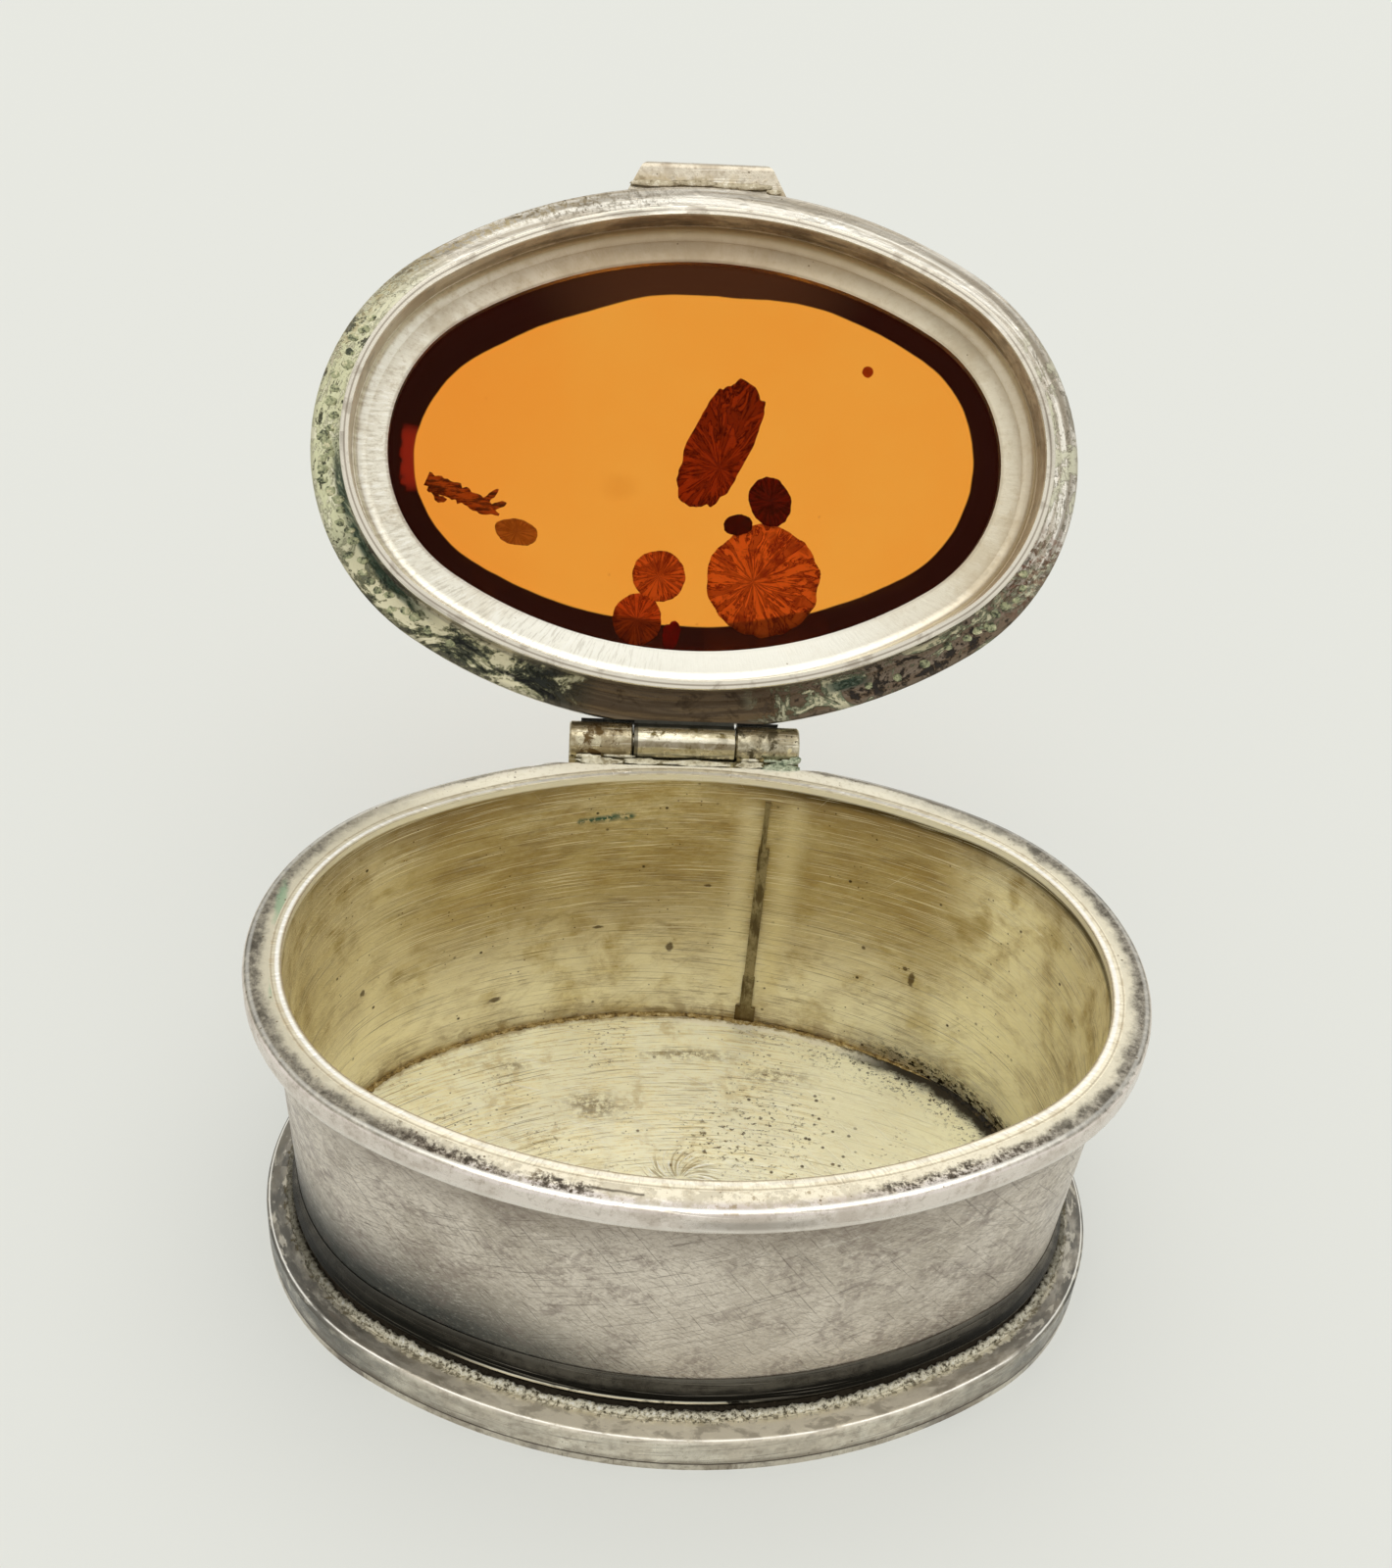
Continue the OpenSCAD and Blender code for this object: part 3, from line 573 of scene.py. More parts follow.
def foot_look(s, t):
    s.silver("eae3d2", "d4cbba", "a49886", cloud=0.35, lo=0.4, hi=0.6, rough=(0.26, 0.42))
    ends = t.inv(s.near(FRONT, 0.75, 0.45))
    along = t.vec(t.mul(s.ang, 10), t.mul(s.z, 0.8), t.mul(s.d, 1.2))
    murk = t.cloud(along, 0.7, 0.42, 0.6)
    s.tint("68625a", t.add(0.2, t.mul(ends, 0.5)), murk)
    s.tint("868278", ends, 0.42)
    s.tint("585850", s.near(3.05, 0.5, 0.4), t.add(0.25, t.mul(murk, 0.5)))
    s.scratch("f6f1e2", 0.5, 0.05, 0.14, 11, 0.6, 0.7)
    s.scratch("605648", 0.5, -0.06, 0.18, 10, 0.6, 0.72, (4, 1, 0))
    s.tint("847668", t.cloud(along, 1.6, 0.52, 0.66), 0.4)
    up = t.step(s.z, LEDGE_Z - 0.12, LEDGE_Z - 0.02)
    front = s.near(FRONT, 0.6, 0.45)
    s.layer("e4dbc4", (0.55, 0.35), up, t.add(0.12, t.mul(front, 0.78)), t.add(0.55, t.mul(s.fine, 0.7)))
    s.layer("8c8270", 0.5, up, t.cloud(along, 1.1, 0.48, 0.6), 0.55)
    s.layer("e4d8b6", 0.45, up, t.step(s.d, 0.95, 1.3), s.cloud(0.8, 0.42, 0.6), 0.7)
    tips = t.inv(s.near(FRONT, 0.95, 0.35))
    s.tint("605e58", tips, t.add(0.52, t.mul(t.cloud(along, 1.3, 0.42, 0.58), 0.42)))
    s.tint("cec8b8", tips, t.cloud(along, 2, 0.56, 0.64), 0.6)
    # painted highlight: a bright line along the foot's arris, in patches
    arris_highlight = t.mul(t.band(s.d, 0.27, 0.34, 0.03), t.step(s.z, LEDGE_Z - 0.18, LEDGE_Z - 0.08))
    s.layer("fffcf2", 0.22, arris_highlight, t.cloud(along, 0.5, 0.36, 0.48), 0.8)
    dirt = t.add(s.d, t.sway(t.noise(s.v, 1.4, 6, 0.74), 0.9), t.mul(t.inv(front), 0.1))
    lit = s.near(-1.5, 1.12, 0.26)
    s.layer("dcd4ba", (0.5, 0.45, 0.6), up, t.step(dirt, 1.16, 1.32), t.add(0.15, t.mul(lit, 0.7)))
    grains = t.noise(t.vec(t.mul(s.ang, 60), t.mul(s.d, 3), s.z), 1, 5, 0.7)
    s.layer("62583e", (0.6, None, -0.8), up, t.step(dirt, 1.12, 1.28), t.step(grains, 0.5, 0.58), 0.8)
    # painted shadow: a dark line in the groove where the ledge meets the wall
    gap = t.add(s.d, t.sway(grains, 0.35), t.mul(t.inv(front), 0.14))
    s.layer("2e2618", (0.6, 0.7), t.step(s.z, LEDGE_Z - 0.1, LEDGE_Z), t.step(gap, 1.56, 1.64))
    s.tint("645644", t.step(s.z, 0.95, 0.6), t.cloud(along, 0.6, 0.38, 0.5), 0.55)
    s.specks(1.4, 0.1, "524634", 0.8, s.cloud(0.4, 0.5, 0.6))


def base_look(s, t):
    s.silver("cec6b6", "aaa090", "6e6254", cloud=0.25, rough=(0.28, 0.44))
    s.scratch("e4dece", 0.45, 0.3, 0.2, 9, 0.6, 0.72, v=s.v)
    s.scratch("60564a", 0.45, -0.9, 0.2, 9, 0.62, 0.74, (9, 2, 0), v=s.v)
    s.tint("463c32", t.step(s.z, 0.4, 0.47), t.step(s.d, 0.45, 0.3), 0.8)
    s.tint(TARNISH, s.cloud(0.3, 0.52, 0.62), 0.5)


def cove_look(s, t):
    s.silver("544f46", "3e3931", "1a1712", cloud=0.3, rough=(0.18, 0.3))
    rag = t.add(s.z, t.sway(t.noise(t.map(s.around, (0.35, 1.5, 1)), 1, 4, 0.6), 1))
    s.tint("110f0b", t.step(rag, BEAD_Z + 0.95, BEAD_Z + 0.4), 0.95)
    s.tint("76726a", t.step(s.z, BEAD_Z + 1.15, BEAD_Z + 1.6), 0.55)
    s.scratch("969084", 0.45, 0.02, 0.1, 12, 0.6, 0.68)
    s.scratch("0c0b09", 0.6, 0, 0.12, 10, 0.58, 0.7, (3, 4, 0))
    s.tint("181813", s.near(-2.75, 0.45, 0.35), 0.55)
    side = s.near(-1.85, 0.42, 0.14)
    edge = t.add(s.d, t.sway(t.noise(s.around, 0.5, 3, 0.6), 0.1))
    # painted highlight: a bright line along the bead on the front-left
    bead = t.mul(t.step(edge, 1.68, 1.62), t.step(s.z, BEAD_Z + 0.2, BEAD_Z + 0.12), side)
    s.layer("f0e9d6", 0.28, bead, t.cloud(s.around, 0.45, 0.38, 0.48), 0.92)
    s.layer("282014", 0.5, t.step(s.z, BEAD_Z + 0.02, BEAD_Z - 0.01), 0.9)


def seam_look(s, t):
    s.silver("968a6c", "786c50", "443826", cloud=0.5, rough=(0.34, 0.5), grain=3.5)
    s.tint("5c5038", t.cloud(t.map(s.v, (2, 2, 0.5)), 1, 0.48, 0.6))
    s.tint("685430", t.step(s.z, 3.2, 1.6), 0.6)


def floor_look(s, t):
    s.silver("fffee6", "fff8d2", "e4d4a6", cloud=0.28, lo=0.4, hi=0.6, rough=(0.3, 0.46), grain=3)
    # brush strokes that curve round the floor
    rear = t.add(s.y, 22)
    arc = t.vec(t.mul(t.m("ARCTAN2", rear, s.x), 30), t.hypot(s.x, rear), 0)
    strokes = t.noise(t.map(arc, (0.45, 6.5, 0)), 1, 6, 0.72, 0.2)
    s.tint("fffee4", t.step(strokes, 0.46, 0.58), 0.85)
    s.tint("bea870", t.step(strokes, 0.48, 0.38), 0.48)
    s.scratch("fffef0", 0.7, 0.1, 0.16, 13, 0.6, 0.68, (3, 2, 0), v=arc)
    s.scratch("fffff6", 0.7, -0.5, 0.2, 12, 0.62, 0.68, (13, 2, 0), v=arc)
    s.scratch("806a3e", 0.7, 0.06, 0.2, 13, 0.61, 0.68, (8, 12, 0), v=arc)
    s.tint("bea66c", s.cloud(0.4, 0.52, 0.66), s.cloud(1.8, 0.4, 0.58), 0.42)
    # painted light: the floor lighter towards the right and the front
    s.tint("fffee2", t.top(t.step(s.x, 4, 10), t.step(s.y, 4, -3)), 0.6)
    for c, size in (((1.2, 10.2, FLOOR_Z), (2.2, 0.45, 1)), ((-4.6, 6, FLOOR_Z), (1.6, 0.8, 1)),
            ((6.2, 8.7, FLOOR_Z), (1.4, 0.6, 1)), ((-9.4, 8.9, FLOOR_Z), (0.9, 0.35, 1))):
        s.tint("7c663e", t.blob(s.v, c, size, 0.8, 1.3), t.step(t.noise(s.v, 2.4, 5, 0.75), 0.4, 0.6), 0.75)
    s.specks(0.8, 0.12, "604a26", 0.85, s.cloud(0.35, 0.46, 0.54))
    s.specks(2.2, 0.16, "604c2a", 0.8, s.cloud(0.3, 0.48, 0.58, 3))
    cluster = t.step(t.vm("DISTANCE", s.v, (4.6, 4.6, FLOOR_Z)), 5, 1.5)
    s.specks(1.3, 0.19, "48381c", 0.9, t.step(t.vm("DISTANCE", s.v, (6, 4, FLOOR_Z)), 6, 3.5))
    grit = t.step(t.noise(t.map(s.v, (1, 1.5, 1)), 2.6, 5, 0.75), 0.57, 0.62)
    s.layer("543e1e", (0.6, None, -0.8), grit, cluster, 0.9)
    s.layer("6e5630", (0.6, None, -0.5), grit, s.cloud(0.25, 0.52, 0.6), 0.6)
    # a small burst of fine scratches
    px, py = t.sub(s.x, 0.35), t.sub(s.y, 0.7)
    far = t.hypot(px, py)
    turn = t.add(t.m("ARCTAN2", py, px), t.mul(far, 0.35))
    rays = t.noise(t.vec(t.mul(turn, 9), t.mul(far, 0.5)), 1, 2, 0.5)
    near = t.mul(t.step(far, 2.6, 1.7), t.step(far, 0.25, 0.6))
    s.layer("fffef4", (None, None, -0.8), t.step(rays, 0.54, 0.6), near, 0.95)
    s.layer("8c7442", (None, None, 0.4), t.step(rays, 0.47, 0.42), near, 0.6)
    # brown dirt along the wall, black on the right
    edge = t.add(s.d, t.sway(t.noise(s.v, 0.9, 6, 0.72), 1.4))
    s.layer("a69268", 0.5, t.step(edge, 3.15, 2.75), 0.7)
    black = s.near(0.46, 0.3, 0.12)
    s.layer("2c2414", (0.65, 0.3), t.step(edge, 3.9, 3.1), black)
    s.layer("302816", 0.65, t.step(edge, 5.8, 3.4), s.near(0.46, 0.36, 0.2),
        t.top(grit, t.step(s.fine, 0.56, 0.62)))
    s.metal = t.mul(s.metal, 0.5)
    s.tint("fffcec", t.band(edge, 2.9, 3.25, 0.1), s.near(1.15, 0.35, 0.2), 0.8)


def knuckle_look(s, t, light, mid, dark, muck, muck_lo=0.5):
    s.silver(light, mid, dark, cloud=0.7, lo=0.4, hi=0.58, rough=(0.24, 0.4), grain=3.5)
    s.scratch("f0ead6", 0.4, 0, 0.3, 8, 0.58, 0.7, v=s.v)
    s.layer(muck, (0.55, None, 0.4), s.cloud(1.1, muck_lo, muck_lo + 0.1))
    s.specks(2.6, 0.16, "342a1a", 0.85, s.cloud(0.7, 0.46, 0.54))


def right_knuckle_look(s, t):
    knuckle_look(s, t, "c6bea4", "9c9278", "544c3a", "5c5440")
    s.layer("dcd0a8", 0.5, s.cloud(0.9, 0.58, 0.66))


def lid_knuckle_look(s, t):
    knuckle_look(s, t, "ded6bc", "bcb292", "706446", "80724c", 0.56)
    # painted highlights and a painted dark band, in bands by the angle round the hinge axis
    turn = t.m("ARCTAN2", t.sub(s.z, AXIS_Z), t.sub(s.y, AXIS_Y))
    ragged = t.add(turn, t.sway(t.noise(s.v, 0.6, 4, 0.6), 0.25))
    for deg, half, col, k in ((-97, 7, "f8f2de", 0.5), (-80, 9, "685842", 0.65), (-60, 9, "beb28a", 0.6),
            (-44, 6, "f6f0d8", 0.6)):
        s.tint(col, t.sector(ragged, radians(deg), radians(half), 0.07), k)
    # painted shade: near black on the side towards the frame, where the gap between lid and knuckles is shaded
    s.layer("1a1c14", (0.6, 0.4), t.step(s.y, AXIS_Y - 0.7, AXIS_Y - 0.84), 0.95)
    # painted shade: darker ends, where the gaps beside the knuckle are shaded
    s.layer("28241a", 0.5, t.step(t.abs(s.x), 2.82, 2.86), 0.7)


# --- looks of the lid
def frame_look(s, t):
    s.silver("ece7da", "dad3c3", "b4a896", cloud=0.25, rough=(0.26, 0.42))
    s.scratch("fcf9f0", 0.5, 0.05, 0.1, 12, 0.58, 0.7)
    s.scratch("706656", 0.5, -0.05, 0.12, 11, 0.6, 0.72, (7, 2, 0))
    face = t.step(s.z, LID_Z + 0.75, LID_Z + 0.35)
    # turned rings, then flaky patches
    along = t.vec(t.mul(s.ang, 2.6), t.mul(s.d, 1.6), t.mul(s.z, 0.5))
    turned = t.noise(t.map(along, (0.8, 2.2, 1)), 1, 5, 0.7, 0.3)
    s.tint(t.mix(t.step(turned, 0.4, 0.6), "b0a694", "eeeade"), face, 0.85)
    s.tint("766c5c", face, t.band(t.add(s.d, t.mul(turned, 0.25)), 0.62, 0.98, 0.08), 0.6)
    s.tint("706656", face, t.band(s.d, 1.66, 1.76, 0.04), 0.55)
    # painted highlight: a bright band on the face beside the lip
    s.layer("f8f5ec", 0.24, face, t.band(s.d, 1.8, 2.1, 0.05), 0.6)
    spread = t.vec(t.mul(s.ang, 17), t.mul(s.z, 1), t.mul(s.d, 1.1))
    flake = t.noise(t.map(spread, (0.6, 1, 1)), 0.62, 10, 0.72, 0.8)
    fine = t.noise(spread, 3, 6, 0.78, 0.3)
    rough = t.add(t.mul(flake, 0.78), t.mul(fine, 0.22))
    left = t.mul(face, s.near(3.1, 0.42, 0.3))
    low_l = t.mul(face, s.near(2.42, 0.36, 0.16))
    hinge = t.mul(face, s.near(1.62, 0.52, 0.16))
    low_r = t.mul(face, s.near(0.78, 0.42, 0.18))
    right = t.mul(face, s.near(0.02, 0.32, 0.22))
    s.layer("423321", 0.38, hinge, 0.95)
    s.tint("6c5a40", hinge, t.step(turned, 0.46, 0.6), 0.6)
    s.tint("2e241a", hinge, t.step(flake, 0.54, 0.62), 0.6)
    s.layer("d8d9b2", (0.6, 0.5, 0.8), left, t.step(rough, 0.38, 0.45), 0.92)
    s.layer("eeecce", (0.65, 0.3, 1), left, t.step(rough, 0.51, 0.535), 0.95)
    s.layer("4e523c", (0.6, 0.4, -1), left, t.step(rough, 0.445, 0.42), 0.95)
    s.layer("3c4230", (0.55, 0.5), low_l, 0.94)
    s.layer("c4c49a", (0.65, 0.3, 1.2), low_l, t.step(rough, 0.495, 0.515), 0.95)
    s.layer("ece6c4", (0.65, 0.3, 0.8), low_l, t.step(rough, 0.525, 0.54), 0.95)
    s.layer("121811", (0.5, 0.4, -1), low_l, t.step(rough, 0.47, 0.44))
    s.layer("68543e", (0.5, 0.7), low_r, 0.88)
    s.layer("a0ac8c", (0.65, 0.3, 1.1), low_r, t.step(flake, 0.5, 0.54), 0.9)
    s.layer("ded8b6", (0.65, 0.3, 1.2), low_r, t.step(rough, 0.53, 0.55), 0.9)
    s.layer("261e16", (0.55, 0.4, -0.8), low_r, t.step(rough, 0.46, 0.42))
    s.layer("d6d6ba", (0.6, 0.5, 0.7), right, t.step(rough, 0.5, 0.54), 0.7)
    s.layer("6e6854", (0.55, None, -0.6), right, t.step(rough, 0.44, 0.41), 0.6)
    s.layer("704630", 0.55, face, s.near(0.32, 0.1, 0.08), t.step(fine, 0.46, 0.56), 0.8)
    stripe = t.mul(t.band(s.d, 1.55, 2.1, 0.15), s.near(2.85, 0.26, 0.1))
    s.layer("223e2c", (0.5, 0.4), face, stripe, t.step(flake, 0.38, 0.5), 0.92)
    spot = t.mul(t.band(s.d, 1.3, 1.9, 0.15), s.near(0.97, 0.05, 0.05))
    s.layer("1e4032", (0.4, 0.4), face, spot, 0.9)
    s.layer("0e0e0c", 0.4, t.seg(s.v, (-11, 12.9, LID_Z), (-7.6, 14.4, LID_Z), 0.1, 0.14, 0.5), 0.95)
    top_l = t.mul(face, s.near(-2.45, 0.45, 0.2), t.step(s.d, 1.3, 0.6))
    s.layer("b09e74", 0.5, top_l, t.step(fine, 0.46, 0.56), 0.75)
    s.layer("5c5240", 0.5, top_l, t.step(rough, 0.53, 0.6), 0.8)
    crown = t.mul(face, s.near(-1.95, 0.22, 0.12), t.step(fine, 0.48, 0.58))
    s.layer("6e6452", 0.5, crown, 0.6)
    # painted shade: darker on the rounded outer edge
    s.tint("706656", t.step(s.d, 0.6, 0.34), face, 0.35)
    s.tint("7c7262", t.band(s.d, 2.02, 2.22, 0.05), face, t.inv(hinge), 0.5)
    s.specks(1.5, 0.12, "483e2c", 0.8, t.mul(face, s.cloud(0.5, 0.48, 0.58)))
    s.bump = 0.05


def lip_look(s, t):
    s.silver("c4b096", "9e866a", "6e5842", cloud=0.22, rough=(0.28, 0.42))
    # painted highlight: the lip's lower edge made bright
    lip_edge_highlight = t.step(s.z, 17.35, 17.05)
    top = s.near(-1.22, 1.1, 0.45)
    s.tint("c8bca6", t.inv(t.top(lip_edge_highlight, top)), t.add(0.5, t.mul(s.near(2.6, 0.9, 0.4), 0.5)))
    s.tint("a68c6c", s.near(-0.3, 0.7, 0.4), t.cloud(t.map(s.around, (0.5, 1.6, 1)), 0.9, 0.44, 0.58),
        0.5)
    mott = t.mul(top, t.cloud(t.map(s.around, (0.4, 1.6, 1)), 0.8, 0.46, 0.58),
        t.band(s.z, 17.7, 19.4, 0.3))
    s.tint("604e3c", mott, 0.7)
    s.layer("e2dccc", 0.24, lip_edge_highlight, 0.92)
    # a thin darker line within the painted highlight
    s.tint("786a58", t.band(s.d, 2.42, 2.52, 0.03), lip_edge_highlight, 0.6)
    s.scratch("f6f2e6", 0.45, 0.02, 0.1, 12, 0.6, 0.72)
    s.scratch("544434", 0.4, 0, 0.14, 10, 0.62, 0.74, (7, 3, 0))
    s.tint("786854", s.cloud(0.5, 0.54, 0.64), 0.4)
    s.specks(1.4, 0.1, "503e28", 0.7, s.cloud(0.4, 0.5, 0.58))


def seat_look(s, t):
    s.silver("e6e1d0", "d4cbb6", "b0a084", cloud=0.2, lo=0.44, hi=0.66, rough=(0.34, 0.44))
    # fine turned marks that run across the shelf
    hatch = t.noise(t.vec(t.mul(s.ang, 90), t.mul(s.d, 0.9)), 1, 4, 0.65)
    s.tint("c4b8a2", t.step(hatch, 0.46, 0.34), 0.35)
    s.tint("fcf9f0", t.step(hatch, 0.54, 0.66), 0.25)
    # painted shade: the shelf darker at the front, darker still near the lip
    s.tint("b6a080", s.near(FRONT, 0.8, 0.5), 0.8)
    s.tint("968064", s.near(FRONT, 0.9, 0.4), t.step(s.d, 3.6, 3), 0.5)
    s.tint("bcaa8c", s.cloud(0.4, 0.54, 0.66), 0.35)
    s.tint("785c42", t.step(s.d, 4.42, 4.6), 0.5)
    # painted light: the shelf lighter at the back
    s.tint("fffdf0", s.near(BACK, 0.8, 0.5), 0.85)
    # painted shade: the shelf darker on the right, and browner near the lip there
    s.tint("d4c7a8", s.near(-0.2, 0.7, 0.5), 0.5)
    right_painted_shade = t.mul(s.near(-0.6, 1.1, 0.5), t.step(s.d, 3.9, 2.9))
    s.tint("ac9676", right_painted_shade, 0.5)
    low = s.near(2.55, 0.75, 0.3)
    s.tint("aca492", low, t.step(hatch, 0.48, 0.4), 0.32)
    s.tint("fffef6", low, t.step(hatch, 0.54, 0.6), 0.3)
    s.height = t.add(s.height, t.mul(hatch, 0.8))
    s.specks(1.2, 0.08, "786042", 0.7, s.cloud(0.4, 0.5, 0.58))


def bezel_look(s, t):
    s.silver("ded8c8", "b2a896", "6e6254", cloud=0.3, rough=(0.22, 0.36))
    s.scratch(PALE, 0.5, 0.03, 0.12, 12, 0.6, 0.72)
    s.tint(TARNISH, t.step(s.z, 21.5, 20.9), 0.6)


def thumb_look(s, t):
    s.silver("c6bdaa", "aea28e", "7e6f58", cloud=0.5, rough=(0.24, 0.38))
    s.scratch(PALE, 0.5, 0.02, 0.2, 9, 0.58, 0.7, v=s.v)
    root = t.step(s.y, -16.9, -16.2)
    s.layer("b2a07c", (0.45, None, 0.3), root, s.cloud(1.2, 0.46, 0.6), 0.6)
    s.layer("6e5e42", 0.5, root, s.cloud(2, 0.54, 0.64), 0.5)
    # painted highlight along the tab's outer edge
    s.layer("faf6e8", 0.24, t.step(s.y, -17.5, -17.9), 0.7)
    s.specks(2, 0.13, "604e32", 0.8, s.cloud(0.8, 0.46, 0.56))


# --- dirt, solder, verdigris, and painted shade in the hinge's gaps
# The frame's cut for the knuckles: where it starts, how far in front of the axis, their radius
CUT_X, CUT_Y, KNUCKLE_R = 2.88, 1.21, 1.05
# The gap beside the lid's knuckle: its middle, half its width, and the least radius of the ring of painted shade
# in it
GAP_X, GAP_HALF, GAP_IN = 2.89, 0.015, 0.66


def rough_material(name, base, light, dark, metal, size=3.0, ends=None, lid=False):
    s = Look(name, lid)
    t = s.t
    n = t.noise(s.v, size, 6, 0.7)
    s.color = t.mix(t.step(n, 0.38, 0.52), dark, base)
    s.tint(light, t.step(n, 0.54, 0.64))
    if ends:
        s.tint(ends, t.inv(s.near(-1.5, 1.12, 0.26)), 0.85)
    s.rough, s.metal = 0.48, metal
    s.height = t.add(n, t.mul(t.noise(s.v, size * 4, 3, 0.7), 0.4))
    s.bump = 0.08
    return s.done()


def add_hinge_gap_shade():
    """Black strips on the frame's cut behind the knuckles, and rings in the gaps beside the lid's knuckle, as
    painted shade where the hinge's gaps are shaded
    """
    verts, faces = [], []
    cols, steps = 7, 40
    for side, length in ((-1, 3.2), (1, 2.3)):
        base = len(verts)
        for i in range(steps + 1):
            x = side * (CUT_X + length * i / steps)
            for j in range(cols):
                z = LID_Z + 0.1 + 1.3 * j / (cols - 1)
                gap = CUT_Y - sqrt(max(KNUCKLE_R ** 2 - (z - AXIS_Z) ** 2, 0))
                thick = min(gap - 0.045, 0.26) * (0.9 + 0.1 * noise.noise(Vector((x * 3, z * 3, 5))))
                verts.append((x, AXIS_Y - CUT_Y + (-0.02 if j in (0, cols - 1) else thick), z))
        for i in range(steps):
            a = base + cols * i
            for j in range(cols):
                k = (j + 1) % cols
                faces.append((a + j, a + k, a + cols + k, a + cols + j))
        last = base + cols * steps
        faces += [tuple(range(base, base + cols)), tuple(reversed(range(last, last + cols)))]
    turns = 48
    for side in (-1, 1):
        base = len(verts)
        for i in range(turns):
            a = TURN * i / turns
            outer = 0.96 + 0.05 * noise.noise(Vector((3 * cos(a), 3 * sin(a), side)))
            for r, x in ((GAP_IN, -GAP_HALF), (outer, -GAP_HALF), (outer, GAP_HALF), (GAP_IN, GAP_HALF)):
                verts.append((side * GAP_X + x, AXIS_Y + r * cos(a), AXIS_Z + r * sin(a)))
        for i in range(turns):
            a, b = base + 4 * i, base + 4 * ((i + 1) % turns)
            for j in range(4):
                k = (j + 1) % 4
                faces.append((a + j, b + j, b + k, a + k))
    gap_shade = rough_material("hinge_gap_shade", "22221a", "4e4c38", "0c0c0a", 0.2, 3, lid=True)
    piece("hinge_gap_shade", verts, faces, gap_shade, "lid", "solder")


def add_dirt_and_gap_shade():
    solder = rough_material("foot_solder", "e8e1c8", "fffdf2", "504730", 0.35, 4.2, ends="4a4534")
    crust("foot_solder_bead", 1.5, LEDGE_Z + 0.22, 0.33, 0, TURN, 1700, solder, size=0.26, seed=2, low=0.55)
    black = rough_material("floor_dirt", "2c2416", "605234", "0e0c09", 0.2)
    crust("floor_dirt_right", 2.62, FLOOR_Z, 0.42, 0.1, 0.92, 260, black, size=0.35, seed=5, tilt=pi)
    brown = rough_material("floor_solder", "b29a64", "e2d2a2", "68522e", 0.7)
    crust("floor_solder_back", 2.6, FLOOR_Z, 0.34, 0.92, 3.05, 520, brown, size=0.35, seed=9, tilt=pi)
    verd = rough_material("hinge_verdigris", "b2ba9c", "e4e4cc", "5a664e", 0.05, 3.4)
    lumps("hinge_verdigris", [((4.75, 15.69, 19.32), (0.6, 0.08, 0.1)),
        ((5.65, 15.58, 19.34), (0.6, 0.13, 0.17)), ((6.15, 15.64, 19.44), (0.3, 0.16, 0.24)),
        ((5.2, 15.18, 19.3), (0.95, 0.33, 0.034)), ((5.95, 15.1, 19.3), (0.45, 0.26, 0.034))], verd, rough=0.45,
        seed=3)
    cream = rough_material("hinge_solder", "e2dbc0", "f4efda", "a49878", 0.3, 2.4)
    lumps("hinge_solder", [((-5.7, 15.58, 19.32), (0.7, 0.12, 0.13)), ((-3.9, 15.7, 19.31), (0.95, 0.08, 0.1)),
        ((3.6, 15.7, 19.31), (0.6, 0.08, 0.1)), ((-5.1, 15.22, 19.3), (1.4, 0.32, 0.034)),
        ((-2.5, 15.3, 19.3), (1.2, 0.28, 0.034)), ((0.6, 15.28, 19.3), (2, 0.28, 0.034)),
        ((3.5, 15.28, 19.3), (0.8, 0.3, 0.034))], cream, rough=0.4, seed=8)
    pale = rough_material("thumb_solder", "beb296", "e2dac4", "807258", 0.85, 2, lid=True)
    lumps("thumb_solder", [((-2.9, -15.95, 19.38), (1.5, 0.2, 0.07)),
        ((-0.4, -16.05, 19.38), (1.6, 0.18, 0.07)), ((2.3, -15.95, 19.38), (1.8, 0.2, 0.07)),
        ((4.1, -15.7, 19.38), (0.5, 0.18, 0.07))], pale, body="lid", rough=0.2, seed=4)
    # dark pieces of painted shade in the hinge's gaps
    add_hinge_gap_shade()
    scaly = rough_material("lid_scale", "b0b48a", "e8e2ba", "3c422c", 0.1, 2.4, lid=True)
    spots = []
    for k in range(46):
        w = noise.noise(Vector((k * 1.7, 0.3, 0.9)))
        u = noise.noise(Vector((0.2, k * 2.3, 4.1)))
        if k < 22:
            phi = radians(118 + 3 * k)
        elif k < 34:
            phi = radians(32 + 3.4 * (k - 22))
        else:
            phi = radians(176 + 3.6 * (k - 34))
        x, y = oval(1.15 + 0.7 * w, phi)
        r = 0.3 + 0.28 * abs(u)
        spots.append(((x, y, LID_Z + 0.005), (r * 0.9, r * 0.7, 0.022 + 0.012 * abs(w))))
    lumps("lid_scale", spots, scaly, body="lid", rough=0.45, seed=6, cuts=2)


# --- the stone
RING = 6  # the inset at which its painted dark edge begins
